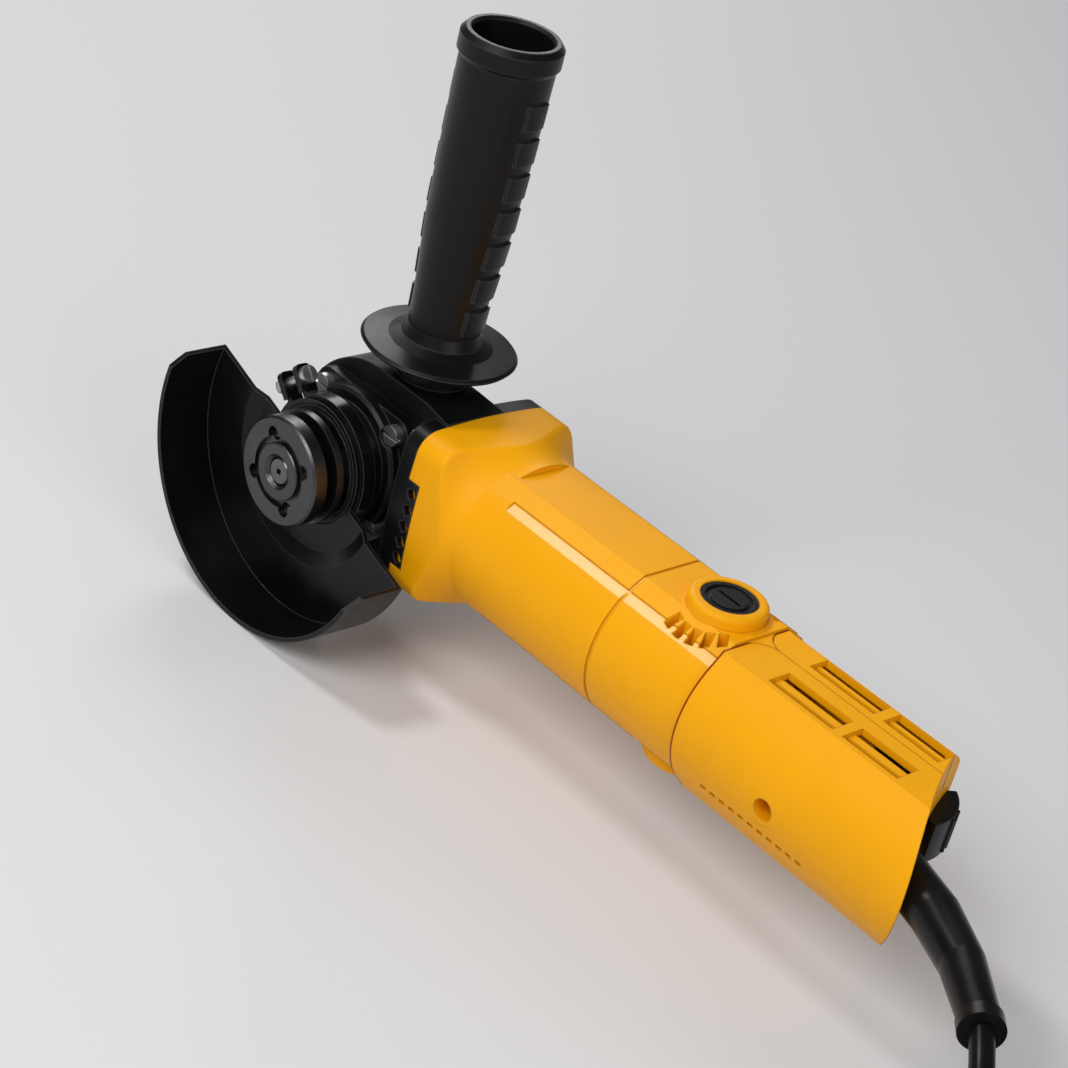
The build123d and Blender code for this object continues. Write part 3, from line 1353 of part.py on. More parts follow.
def least_gap(path):
    """Smallest space between the coil's turns, on points along its path."""
    count = 700
    points = [path @ (i / count) for i in range(count + 1)]
    apart = math.ceil(4 * CORD_D / (path.length / count))
    gaps = [(a - b).length for i, a in enumerate(points) for b in points[i + apart:]]
    return min(gaps) - CORD_D


def cord_coil():
    """The rest of the cord, put away as one unbroken coil of two layers."""
    path = coil_path()
    section = Plane(path @ 0, z_dir=path % 0) * RegularPolygon(CORD_D / 2, 8)
    coil = sweep(section, path)
    print("coil length:", round(path.length, 1), "least gap:", round(least_gap(path), 2))
    print("coil volume over section times length:", round(coil.volume / (section.area * path.length), 4))
    return coil


def coil_tie():
    """Flat band round the coil's turns."""
    begin, centre = coil_start()
    turns = (TIE_ANGLE - 90) / 360 + math.ceil((90 - TIE_ANGLE) / 360)
    reach = []
    while turns < coil_turns():
        arm = coil_point(turns) - centre
        reach.append(math.hypot(arm.X, arm.Y))
        turns += 1
    low = min(reach) - CORD_D / 2 - TIE_ROOM
    high = max(reach) + CORD_D / 2 + TIE_ROOM
    top = begin.Z + CORD_D / 2 + FIT
    floor = FLOOR_Z
    band = slab((low - TIE_T, high + TIE_T), (-TIE_W / 2, TIE_W / 2), (floor, top + TIE_T))
    band -= slab((low, high), (-TIE_W, TIE_W), (floor + TIE_T, top))
    return Pos(centre.X, centre.Y, 0) * Rot(0, 0, TIE_ANGLE) * band


def plug_plane(distance):
    """Plane across the plug, at a distance from where the cord enters it."""
    last, heading = coil_end()
    return Plane(last + heading * (CORD_D + distance), x_dir=(heading.Y, -heading.X, 0), z_dir=heading)


def plug_body():
    """Moulded two-pin plug: a tapered relief, a widening neck and the flat body."""
    relief = loft([plug_plane(0) * Circle(PLUG_RELIEF_R[0]),
                   plug_plane(PLUG_RELIEF_L) * Circle(PLUG_RELIEF_R[1])], ruled=True)
    front = plug_plane(PLUG_RELIEF_L + PLUG_NECK_L)
    full = SlotOverall(PLUG_W, 2 * PLUG_HALF_H)
    waist = SlotOverall(0.6 * PLUG_W, 1.6 * PLUG_RELIEF_R[1])
    neck = loft([plug_plane(PLUG_RELIEF_L) * waist, front * full], ruled=True)
    return relief + neck + extrude(front * full, PLUG_BODY_L)


def plug_pins():
    face = plug_plane(PLUG_RELIEF_L + PLUG_NECK_L + PLUG_BODY_L)
    pin = Cylinder(PLUG_PIN_R, PLUG_PIN_L, align=(Align.CENTER, Align.CENTER, Align.MIN))
    pin = fillet(pin.edges().group_by(Axis.Z)[-1], 1.2)
    return [face * Pos(side * PLUG_PIN_AT, 0, 0) * pin for side in (1, -1)]


def main():
    os.makedirs("parts", exist_ok=True)
    shift = Pos(0, -SEAT_Y, 0)
    for name, make in PIECES.items():
        made = make()
        solids = made if isinstance(made, list) else [made]
        moved = [shift * solid for solid in solids]
        shape = moved[0] if len(moved) == 1 else Compound(children=moved)
        export_step(shape, f"parts/{name}.step")


PIECES = {
    "gear_case": gear_case,
    "head_screws": head_screws,
    "bearing_cover": bearing_cover,
    "bearing_cover_screws": bearing_cover_screws,
    "bearing_retainer": bearing_retainer,
    "spindle_bearing": spindle_bearing,
    "needle_bearing": needle_bearing,
    "dust_ring": dust_ring,
    "spindle": spindle,
    "crown_gear": crown_gear,
    "inner_flange": inner_flange,
    "lock_nut": lock_nut,
    "pinion": pinion,
    "pinion_nut": pinion_nut,
    "spindle_lock_button": lock_button,
    "spindle_lock_spring": lock_spring,
    "guard": guard,
    "guard_clamp_band": guard_clamp_band,
    "guard_clamp_screw": guard_clamp_screw,
    "handle_stud": handle_stud,
    "side_handle_grip": side_handle_grip,
    "motor_housing": motor_housing,
    "fan_baffle": fan_baffle,
    "stator_core": stator_core,
    "field_windings": field_windings,
    "armature_shaft": armature_shaft,
    "armature_core": armature_core,
    "armature_windings": armature_windings,
    "commutator": commutator,
    "fan": fan,
    "front_motor_bearing": front_bearing,
    "rear_motor_bearing": rear_bearing,
    "brush_holders": brush_holders,
    "carbon_brushes": carbon_brushes,
    "brush_springs": brush_springs,
    "brush_caps": brush_caps,
    "rear_cover_near": rear_cover_near,
    "rear_cover_far": rear_cover_far,
    "rear_cover_screw": rear_cover_screw,
    "switch_body": switch_body,
    "switch_lever": switch_lever,
    "cord_clamp": cord_clamp,
    "cord_boot": cord_boot,
    "inner_cord": inner_cord,
    "power_cord": power_cord,
    "cord_coil": cord_coil,
    "coil_tie": coil_tie,
    "plug_body": plug_body,
    "plug_pins": plug_pins,
}

main()
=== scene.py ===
import math

import bmesh
import bpy
from bpy.props import FloatProperty, FloatVectorProperty, IntProperty, PointerProperty
from mathutils import Matrix, Vector
from mathutils.geometry import convex_hull_2d


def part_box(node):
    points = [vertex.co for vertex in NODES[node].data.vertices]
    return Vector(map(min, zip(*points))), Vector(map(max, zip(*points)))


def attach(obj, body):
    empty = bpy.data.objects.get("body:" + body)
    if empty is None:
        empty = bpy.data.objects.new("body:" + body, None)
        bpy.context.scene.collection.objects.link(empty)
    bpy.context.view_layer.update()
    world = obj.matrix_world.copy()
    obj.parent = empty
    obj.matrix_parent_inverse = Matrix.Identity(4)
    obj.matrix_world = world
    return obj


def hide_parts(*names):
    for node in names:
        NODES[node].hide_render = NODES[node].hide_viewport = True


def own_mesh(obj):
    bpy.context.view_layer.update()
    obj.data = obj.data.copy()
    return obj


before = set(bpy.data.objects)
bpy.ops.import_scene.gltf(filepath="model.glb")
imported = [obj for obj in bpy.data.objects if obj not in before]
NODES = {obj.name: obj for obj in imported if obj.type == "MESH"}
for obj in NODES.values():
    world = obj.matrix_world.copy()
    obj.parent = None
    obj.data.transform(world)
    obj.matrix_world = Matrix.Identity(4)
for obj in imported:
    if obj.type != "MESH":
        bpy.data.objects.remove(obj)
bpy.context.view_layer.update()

bl_info = {
    "name": "Mini Angle Grinder",
    "version": (1, 0, 0),
    "blender": (4, 5, 0),
    "location": "View3D > Sidebar > Grinder",
    "description": "Finishes, cord, springs and studio for a corded mini angle grinder",
    "category": "Object",
}

# All lengths are in metres.
SEAT_Y = 0.0455                      # from the motor axis to the disc seat, the origin of the frame
FLOOR_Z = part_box("guard")[0].z       # the guard's rim stands on the floor

# Which finish each piece has
HOUSING = {
    "housing_plastic": ["motor_housing"],
    "cover_plastic": ["rear_cover_near", "rear_cover_far"],
    "zinc_steel": ["rear_cover_screw"],
}
HEAD = {
    "head_paint": ["gear_case", "bearing_cover"],
    "black_moulding": ["spindle_lock_button"],
    "zinc_steel": ["head_screws", "bearing_cover_screws"],
}
GUARD = {
    "guard_coat": ["guard", "guard_clamp_band"],
    "zinc_steel": ["guard_clamp_screw"],
}
HANDLE = {
    "grip_moulding": ["side_handle_grip"],
    "zinc_steel": ["handle_stud"],
}
SPINDLE = {
    "blackened_steel": ["lock_nut", "inner_flange"],
    "spindle_steel": ["spindle", "dust_ring"],
    "cut_steel": ["crown_gear", "pinion"],
    "race_steel": ["spindle_bearing", "needle_bearing"],
    "turned_steel": ["bearing_retainer", "pinion_nut"],
}
MOTOR = {
    "turned_steel": ["armature_shaft"],
    "lamination_steel": ["stator_core", "armature_core"],
    "winding_copper": ["field_windings", "armature_windings", "commutator"],
    "race_steel": ["front_motor_bearing", "rear_motor_bearing"],
    "holder_brass": ["brush_holders"],
    "pressed_carbon": ["carbon_brushes"],
    "black_moulding": ["brush_caps", "fan", "fan_baffle"],
}
SWITCH = {
    "black_moulding": ["switch_lever", "switch_body"],
}
CORD = {
    "cord_sheath": ["cord_boot", "inner_cord", "plug_body"],
    "black_moulding": ["cord_clamp"],
    "pin_nickel": ["plug_pins"],
}


class HousingSettings(bpy.types.PropertyGroup):
    """Moulded motor housing and rear cover"""
    colour: FloatVectorProperty(
        name="Colour", description="Colour of the moulded housing",
        subtype="COLOR", size=3, min=0, max=1, default=(0.92, 0.4, 0.002))
    grain: FloatProperty(
        name="Grain", description="Size of the moulded grain",
        subtype="DISTANCE", unit="LENGTH", min=0.0001, default=0.0006)


class HeadSettings(bpy.types.PropertyGroup):
    """Painted gear head and guard"""
    paint: FloatVectorProperty(
        name="Paint", description="Colour of the painted head and guard",
        subtype="COLOR", size=3, min=0, max=1, default=(0.004, 0.004, 0.0045))


class HandleSettings(bpy.types.PropertyGroup):
    """Side handle and its threaded stud"""
    grip: FloatVectorProperty(
        name="Grip", description="Colour of the side handle",
        subtype="COLOR", size=3, min=0, max=1, default=(0.004, 0.004, 0.0042))
    thread_pitch: FloatProperty(
        name="Pitch", description="Pitch of the stud's thread",
        subtype="DISTANCE", unit="LENGTH", min=0.0005, default=0.00125)
    thread_ridge: FloatProperty(
        name="Ridge", description="Width of the thread's ridge",
        subtype="DISTANCE", unit="LENGTH", min=0.0002, default=0.0007)
    stud_gap: FloatProperty(
        name="Bare stud", description="Stud seen between the head and the handle",
        subtype="DISTANCE", unit="LENGTH", min=0.001, default=0.0045)


class CordSettings(bpy.types.PropertyGroup):
    """Power cord, its coil and strap"""
    diameter: FloatProperty(
        name="Diameter", description="Cord over its sheath",
        subtype="DISTANCE", unit="LENGTH", min=0.003, default=0.0075)
    length: FloatProperty(
        name="Length", description="Cord from boot to plug",
        subtype="DISTANCE", unit="LENGTH", min=0.1, default=2.158)
    turn_points: IntProperty(
        name="Points per turn", description="Control points in one turn of the coil", min=12, default=24)
    tie_width: FloatProperty(
        name="Strap width", description="Width of the coil's strap",
        subtype="DISTANCE", unit="LENGTH", min=0.003, default=0.009)
    tie_thickness: FloatProperty(
        name="Strap", description="Thickness of the coil's strap",
        subtype="DISTANCE", unit="LENGTH", min=0.0003, default=0.0008)
    colour: FloatVectorProperty(
        name="Sheath", description="Colour of the cord's rubber sheath",
        subtype="COLOR", size=3, min=0, max=1, default=(0.004, 0.004, 0.0042))


class SpringSettings(bpy.types.PropertyGroup):
    """Wound springs of the lock button and the brushes"""
    lock_wire: FloatProperty(
        name="Lock wire", description="Wire of the lock button's spring",
        subtype="DISTANCE", unit="LENGTH", min=0.0002, default=0.0009)
    lock_turns: FloatProperty(
        name="Lock turns", description="Turns of the lock button's spring", min=2, default=6.0)
    brush_wire: FloatProperty(
        name="Brush wire", description="Wire of the brush springs",
        subtype="DISTANCE", unit="LENGTH", min=0.0002, default=0.0006)
    brush_turns: FloatProperty(
        name="Brush turns", description="Turns of a brush spring", min=2, default=6.0)


class StudioSettings(bpy.types.PropertyGroup):
    """Camera and floor"""
    camera_at: FloatVectorProperty(
        name="Camera", description="Where the camera stands",
        subtype="TRANSLATION", unit="LENGTH", size=3, default=(-0.6091, 0.5933, 0.4746))
    camera_right: FloatVectorProperty(
        name="Right", description="Direction of the picture's right side",
        subtype="DIRECTION", size=3, default=(-0.6544, -0.7213, 0.2269))
    camera_up: FloatVectorProperty(
        name="Up", description="Direction of the picture's top",
        subtype="DIRECTION", size=3, default=(0.5046, -0.1931, 0.8415))
    focal: FloatProperty(
        name="Focal length", description="Focal length in pixels of the photograph",
        subtype="PIXEL", min=100, default=2897.5)
    floor: FloatVectorProperty(
        name="Floor", description="Colour of the floor",
        subtype="COLOR", size=3, min=0, max=1, default=(0.72, 0.72, 0.73))


def settings(name):
    """Property group of the scene, by its name."""
    return getattr(bpy.context.scene, name)


# Material nodes

NOISE_RANGE = (0.3, 0.7)             # where most values of a noise lie
BEVEL_SAMPLES = 4
EDGE_LEAN = (0.99, 0.85)             # cosine of the rounded normal's lean where a tint starts and is full
EDGE_HIGHLIGHT_COLOUR = (0.07, 0.07, 0.073)  # painted highlight along the edges of black paint and plastic
SEAM_COLOUR = (0.3, 0.04, 0.002)     # in the shade between motor housing and rear cover
SEAM_WIDTH = 0.0007
STRIP_NORMAL = (0.0, 0.566, 0.824)   # of the flat strips along the barrel, in the quarter with +Y and +Z
STRIP_HEIGHT = 0.0283                # of their plane over the motor axis
STRIP_SLACK = 0.00015
STRIP_FACING = 0.998                 # least cosine between a strip's surface and that normal


def new_material(name, colour, roughness, metallic=0.0, specular=0.5):
    """A material with a plain shader, its node tree and that shader."""
    material = bpy.data.materials.new(name)
    material.use_nodes = True
    tree = material.node_tree
    shader = tree.nodes["Principled BSDF"]
    shader.inputs["Base Color"].default_value = (*colour, 1)
    shader.inputs["Roughness"].default_value = roughness
    shader.inputs["Metallic"].default_value = metallic
    shader.inputs["Specular IOR Level"].default_value = specular
    material.diffuse_color = (*colour, 1)
    return material, tree, shader


def worked_out(tree, kind, operation, values, result="Value"):
    """Result of a maths node, from sockets and fixed values."""
    node = tree.nodes.new(kind)
    node.operation = operation
    for socket, value in zip(node.inputs, values):
        if isinstance(value, bpy.types.NodeSocket):
            tree.links.new(value, socket)
        else:
            socket.default_value = value
    return node.outputs[result]


def number(tree, operation, *values):
    """A number worked out from numbers."""
    return worked_out(tree, "ShaderNodeMath", operation, values)


def vector(tree, operation, *values):
    """A vector worked out from vectors."""
    return worked_out(tree, "ShaderNodeVectorMath", operation, values, "Vector")


def vector_number(tree, operation, *values):
    """A number worked out from vectors."""
    return worked_out(tree, "ShaderNodeVectorMath", operation, values)


def object_place(tree):
    """Place of the shaded point in its object's own space."""
    return tree.nodes.new("ShaderNodeTexCoord").outputs["Object"]


def true_normal(tree):
    """Normal of the surface as it is."""
    return tree.nodes.new("ShaderNodeNewGeometry").outputs["Normal"]


def rounded_normal(tree, radius):
    """Normal of the surface with its edges rounded by a radius."""
    bevel = tree.nodes.new("ShaderNodeBevel")
    bevel.samples = BEVEL_SAMPLES
    bevel.inputs["Radius"].default_value = radius
    return bevel.outputs["Normal"]


def map_range(tree, value, span, low, high):
    """A value within a span, moved between two limits."""
    node = tree.nodes.new("ShaderNodeMapRange")
    node.inputs["From Min"].default_value = span[0]
    node.inputs["From Max"].default_value = span[1]
    node.inputs["To Min"].default_value = low
    node.inputs["To Max"].default_value = high
    tree.links.new(value, node.inputs["Value"])
    return node


def noise(tree, size, detail=3.0, stretch=(1, 1, 1)):
    """Noise with features of a size in metres, in the object's own space."""
    scale = tree.nodes.new("ShaderNodeMapping")
    scale.inputs["Scale"].default_value = stretch
    texture = tree.nodes.new("ShaderNodeTexNoise")
    texture.inputs["Scale"].default_value = 1 / size
    texture.inputs["Detail"].default_value = detail
    tree.links.new(object_place(tree), scale.inputs["Vector"])
    tree.links.new(scale.outputs["Vector"], texture.inputs["Vector"])
    return texture.outputs["Fac"]


def vary_roughness(tree, value, low, high):
    """Roughness between two limits, by a noise."""
    return map_range(tree, value, NOISE_RANGE, low, high).outputs["Result"]


def tinted(colour, share):
    """A colour made darker or lighter."""
    return tuple(min(1.0, channel * share) for channel in colour)


def vary_colour(tree, shader, value, colour, dark=1.0, light=1.0):
    """Base colour between a darker and a lighter tint of a colour, by a noise."""
    ramp = tree.nodes.new("ShaderNodeValToRGB")
    for stop, place, share in zip(ramp.color_ramp.elements, NOISE_RANGE, (dark, light)):
        stop.position = place
        stop.color = (*tinted(colour, share), 1)
    tree.links.new(value, ramp.inputs["Fac"])
    tree.links.new(ramp.outputs["Color"], shader.inputs["Base Color"])


def add_bump(tree, shader, value, height, rounding=0.0):
    """Fine relief of a height in metres, over edges rounded by a small radius."""
    bump = tree.nodes.new("ShaderNodeBump")
    bump.inputs["Distance"].default_value = height
    tree.links.new(value, bump.inputs["Height"])
    if rounding:
        tree.links.new(rounded_normal(tree, rounding), bump.inputs["Normal"])
    tree.links.new(bump.outputs["Normal"], shader.inputs["Normal"])


def overlay(tree, shader, share, colour):
    """Base colour replaced by another one, by a share from 0 to 1."""
    mix = tree.nodes.new("ShaderNodeMix")
    mix.data_type = "RGBA"
    tree.links.new(share, mix.inputs["Factor"])
    tree.links.new(shader.inputs["Base Color"].links[0].from_socket, mix.inputs["A"])
    mix.inputs["B"].default_value = (*colour, 1)
    tree.links.new(mix.outputs["Result"], shader.inputs["Base Color"])


def tint_edges(tree, shader, colour, width, share):
    """Sharp edges take another colour, where the rounded normal leans from the true one: a painted
    highlight on black paint, painted shade on the housing.
    """
    lean = vector_number(tree, "DOT_PRODUCT", rounded_normal(tree, width), true_normal(tree))
    overlay(tree, shader, map_range(tree, lean, EDGE_LEAN, 0.0, share).outputs["Result"], colour)


def mark_seam(tree, shader):
    """Shaded line along the rear cover's front edge, where it meets the motor housing."""
    split = tree.nodes.new("ShaderNodeSeparateXYZ")
    tree.links.new(object_place(tree), split.inputs["Vector"])
    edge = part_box("rear_cover_near")[1].x - SEAM_WIDTH
    overlay(tree, shader, number(tree, "GREATER_THAN", split.outputs["X"], edge), SEAM_COLOUR)


def polish_strips(tree, shader, roughness, gloss):
    """Roughness of the housing, lower on the flat strips along the barrel on every side."""
    place = vector(tree, "ABSOLUTE", vector(tree, "ADD", object_place(tree), (0, SEAT_Y, 0)))
    height = vector_number(tree, "DOT_PRODUCT", place, STRIP_NORMAL)
    level = number(tree, "COMPARE", height, STRIP_HEIGHT, STRIP_SLACK)
    lean = vector_number(tree, "DOT_PRODUCT", vector(tree, "ABSOLUTE", true_normal(tree)), STRIP_NORMAL)
    facing = number(tree, "GREATER_THAN", lean, STRIP_FACING)
    blend = tree.nodes.new("ShaderNodeMix")
    blend.inputs["B"].default_value = gloss
    tree.links.new(number(tree, "MULTIPLY", level, facing), blend.inputs["Factor"])
    tree.links.new(roughness, blend.inputs["A"])
    tree.links.new(blend.outputs["Result"], shader.inputs["Roughness"])


# Finishes

METAL_SWING = 0.08                   # roughness of bare metal, either way
PAINT_SWING = 0.06                   # roughness of paint, black plastic and rubber, either way

# Bare metals: colour, roughness, and scale of the tool marks along x, y and z
METALS = {
    "blackened_steel": ((0.09, 0.09, 0.095), 0.36, (1, 1, 1)),
    "spindle_steel": ((0.16, 0.16, 0.165), 0.34, (0.15, 1, 0.15)),
    "zinc_steel": ((0.62, 0.63, 0.65), 0.4, (1, 1, 1)),
    "turned_steel": ((0.56, 0.57, 0.58), 0.27, (0.15, 1, 0.15)),
    "race_steel": ((0.62, 0.63, 0.64), 0.2, (0.2, 1, 0.2)),
    "cut_steel": ((0.42, 0.42, 0.43), 0.34, (1, 1, 1)),
    "lamination_steel": ((0.3, 0.3, 0.31), 0.5, (4, 0.1, 0.1)),
    "winding_copper": ((0.72, 0.34, 0.17), 0.35, (0.1, 1, 1)),
    "holder_brass": ((0.78, 0.58, 0.25), 0.32, (1, 1, 0.2)),
    "pin_nickel": ((0.7, 0.69, 0.66), 0.18, (1, 1, 1)),
}


def worked_metal(name, colour, roughness, stretch):
    """Metal with fine tool marks drawn out along one direction."""
    material, tree, shader = new_material(name, colour, roughness, metallic=1.0)
    marks = noise(tree, size=0.0006, detail=2.0, stretch=stretch)
    cloud = noise(tree, size=0.012)
    vary_colour(tree, shader, cloud, colour, dark=0.85)
    rough = vary_roughness(tree, marks, roughness - METAL_SWING, roughness + METAL_SWING)
    tree.links.new(rough, shader.inputs["Roughness"])
    add_bump(tree, shader, marks, height=0.000008, rounding=0.0002)
    return material


def painted(name, colour, roughness, grain, height, rounding=0.0, edge_highlight=0.0):
    """Dark paint, plastic or rubber with a fine grain, and a painted highlight along its edges."""
    material, tree, shader = new_material(name, colour, roughness, specular=0.2)
    cloud = noise(tree, size=0.02, detail=5.0)
    vary_colour(tree, shader, cloud, colour, dark=0.8, light=1.25)
    rough = vary_roughness(tree, cloud, roughness - PAINT_SWING, roughness + PAINT_SWING)
    tree.links.new(rough, shader.inputs["Roughness"])
    # Painted highlight: edges lightened towards a pale grey, by the given share.
    if edge_highlight:
        tint_edges(tree, shader, EDGE_HIGHLIGHT_COLOUR, width=2 * rounding, share=edge_highlight)
    add_bump(tree, shader, noise(tree, size=grain), height, rounding)
    return material


def moulded(name):
    """Bright plastic of the housing: its material, node tree and shader."""
    plastic = settings("grinder_housing")
    material, tree, shader = new_material(name, plastic.colour, roughness=0.42, specular=0.14)
    cloud = noise(tree, size=0.03)
    vary_colour(tree, shader, cloud, plastic.colour, dark=0.95)
    # Painted shade: edges and grooves darkened to 0.3 of the housing's colour, standing in for the shadow
    # in its joints and gaps.
    tint_edges(tree, shader, tinted(plastic.colour, share=0.3), width=0.0004, share=0.7)
    polish_strips(tree, shader, vary_roughness(tree, cloud, low=0.42, high=0.5), gloss=0.16)
    add_bump(tree, shader, noise(tree, size=plastic.grain, detail=2.0), height=0.00002, rounding=0.0008)
    return material, tree, shader


def housing_plastic():
    return moulded("housing_plastic")[0]


def cover_plastic():
    material, tree, shader = moulded("cover_plastic")
    mark_seam(tree, shader)
    return material


def head_paint():
    return painted("head_paint", settings("grinder_head").paint,
                   roughness=0.38, grain=0.0012, height=0.00002, rounding=0.0005, edge_highlight=0.6)


def guard_coat():
    return painted("guard_coat", settings("grinder_head").paint,
                   roughness=0.24, grain=0.002, height=0.000012, rounding=0.0003, edge_highlight=0.8)


def grip_moulding():
    return painted("grip_moulding", settings("grinder_handle").grip,
                   roughness=0.36, grain=0.0008, height=0.000008, rounding=0.0005, edge_highlight=0.6)


def black_moulding():
    return painted("black_moulding", (0.006, 0.006, 0.0065),
                   roughness=0.34, grain=0.0006, height=0.000005, rounding=0.0003, edge_highlight=0.3)


def tie_moulding():
    return painted("tie_moulding", (0.02, 0.02, 0.021),
                   roughness=0.5, grain=0.001, height=0.00002, rounding=0.0002)


def cord_sheath():
    return painted("cord_sheath", settings("grinder_cord").colour,
                   roughness=0.3, grain=0.0007, height=0.000005, rounding=0.0003)


def pressed_carbon():
    return painted("pressed_carbon", (0.03, 0.03, 0.032), roughness=0.6, grain=0.0004, height=0.00002)


MAKERS = {
    "housing_plastic": housing_plastic,
    "cover_plastic": cover_plastic,
    "head_paint": head_paint,
    "guard_coat": guard_coat,
    "grip_moulding": grip_moulding,
    "black_moulding": black_moulding,
    "tie_moulding": tie_moulding,
    "cord_sheath": cord_sheath,
    "pressed_carbon": pressed_carbon,
}


def finish(name):
    """The material of that name, made once."""
    made = bpy.data.materials.get(name)
    if made:
        return made
    if name in METALS:
        return worked_metal(name, *METALS[name])
    return MAKERS[name]()


def dress(pieces):
    """Gives CAD nodes their finishes."""
    for name, group in pieces.items():
        for node in group:
            slots = NODES[node].data.materials
            slots.clear()
            slots.append(finish(name))


def link(item):
    """Puts a new object into the scene."""
    bpy.context.scene.collection.objects.link(item)
    return item


# Cord

CORD_ROUTE = [                       # from the boot's end to the coil's top, with y from the motor axis
    (-0.312248, 0.0507182, 0.0),
    (-0.3196, 0.0582, -0.0018),
    (-0.3309, 0.0694, -0.0109),
    (-0.3405, 0.0760, -0.0222),
    (-0.3510, 0.0787, -0.0325),
    (-0.3635, 0.0798, -0.0398),
    (-0.3775, 0.0800, -0.04375),
]
COIL_OUT_R = 0.057
COIL_IN_R = 0.029
COIL_END_R = 0.066
COIL_TURNS = 3.25                    # in the upper layer
CLIMB_TURNS = 0.5                    # on the way down
COIL_LAST_TURNS = 3.45               # on the floor
ALL_TURNS = COIL_TURNS + CLIMB_TURNS + COIL_LAST_TURNS
COIL_LAYER = -0.008                  # from the upper layer to the lower one
COIL_LANDING = 0.2                   # last part of a turn, which rises to the plug
COIL_START = 90                      # where the coil begins, in degrees
PLUG_HALF_H = 0.011
CORD_FINENESS = 4                    # of the cord's section, and of the steps along it
TIE_ANGLE = 30                       # where the strap is, in degrees round the coil
TIE_ROOM = 0.001                     # between the strap and the turns, towards the middle and outwards
TIE_STEPS = 6                        # faces in a bend of the strap
TIE_SHARP = 40                       # edges of the strap over this many degrees stay sharp


def eased(share):
    """A share from 0 to 1 with a gentle start and end."""
    share = min(1.0, max(0.0, share))
    return share * share * (3 - 2 * share)


def coil_centre(cord_r):
    """Middle of the coil, which the cord joins from the side."""
    return Vector(CORD_ROUTE[-1]) + Vector((-2 * cord_r, -COIL_OUT_R, 0))


def coil_radius(turns):
    """Radius of the coil after a number of turns: in on top, and out on the floor."""
    reverse = COIL_TURNS + CLIMB_TURNS / 2
    if turns <= reverse:
        return COIL_OUT_R + (COIL_IN_R - COIL_OUT_R) * turns / reverse
    return COIL_IN_R + (COIL_END_R - COIL_IN_R) * (turns - reverse) / (ALL_TURNS - reverse)


def coil_height(turns):
    """Height after a number of turns: on top, on the way down, on the floor and up to the plug."""
    top = CORD_ROUTE[-1][2]
    climb = eased((turns - COIL_TURNS) / CLIMB_TURNS)
    landing = eased((turns - ALL_TURNS) / COIL_LANDING + 1)
    return top + COIL_LAYER * climb - (top + COIL_LAYER - FLOOR_Z - PLUG_HALF_H) * landing


def outward_at(degrees):
    """Level direction out of the coil's middle."""
    angle = math.radians(degrees)
    return Vector((math.cos(angle), math.sin(angle), 0))


def across(outward):
    """Level direction along the coil's turns."""
    return Vector((-outward.y, outward.x, 0))


def coil_point(turns, cord):
    """Control point of the coil after a number of turns."""
    reach = coil_radius(turns) / math.cos(math.pi / cord.turn_points)
    point = coil_centre(cord.diameter / 2) + reach * outward_at(COIL_START + 360 * turns)
    point.z = coil_height(turns)
    return point


def cord_points(cord):
    """Control points of the whole cord, from the boot to the plug."""
    count = round(ALL_TURNS * cord.turn_points)
    coil = [coil_point(ALL_TURNS * (i + 0.5) / count, cord) for i in range(count)]
    growth = (COIL_END_R - COIL_IN_R) / (2 * math.pi * (COIL_LAST_TURNS + CLIMB_TURNS / 2) * COIL_END_R)
    outward = outward_at(COIL_START + 360 * ALL_TURNS)
    heading = (across(outward) + outward * growth).normalized()
    leave = coil_centre(cord.diameter / 2) + outward * COIL_END_R
    leave.z = FLOOR_Z + PLUG_HALF_H
    return [Vector(point) for point in CORD_ROUTE] + coil + [leave, leave + heading * cord.diameter]


def add_spline(curve, points):
    """A smooth line that starts and ends at its first and last control point."""
    spline = curve.splines.new("NURBS")
    spline.points.add(len(points) - 1)
    for control, point in zip(spline.points, points):
        control.co = (*point, 1)
    spline.order_u = 3
    spline.use_endpoint_u = True


def round_curve(name, radius, fineness):
    """Curve with a round section."""
    curve = bpy.data.curves.new(name, "CURVE")
    curve.dimensions = "3D"
    curve.bevel_depth = radius
    curve.bevel_resolution = fineness
    curve.resolution_u = fineness
    return curve


def make_cord(cord, tie):
    """Cord from the boot to the plug, as one smooth line."""
    points = [point - Vector((0, SEAT_Y, 0)) for point in cord_points(cord)]
    curve = round_curve("power_cord_line", cord.diameter / 2, CORD_FINENESS)
    add_spline(curve, points)
    curve.materials.append(finish("cord_sheath"))
    item = link(bpy.data.objects.new("power_cord_line", curve))
    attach(item, "body")
    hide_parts("power_cord", "cord_coil")


def tight_loop(spots, radius):
    """Line pulled tight round circles of one radius: each point's reach, height and outward direction."""
    bends = [spots[i] for i in convex_hull_2d(spots)]
    loop = []
    for before, here, after in zip(bends[-1:] + bends[:-1], bends, bends[1:] + bends[:1]):
        begin = math.atan2(before[0] - here[0], here[1] - before[1])
        end = math.atan2(here[0] - after[0], after[1] - here[1])
        for step in range(TIE_STEPS + 1):
            angle = begin + (end - begin) % (2 * math.pi) * step / TIE_STEPS
            out = (math.cos(angle), math.sin(angle))
            loop.append((here[0] + radius * out[0], here[1] + radius * out[1], out))
    return loop


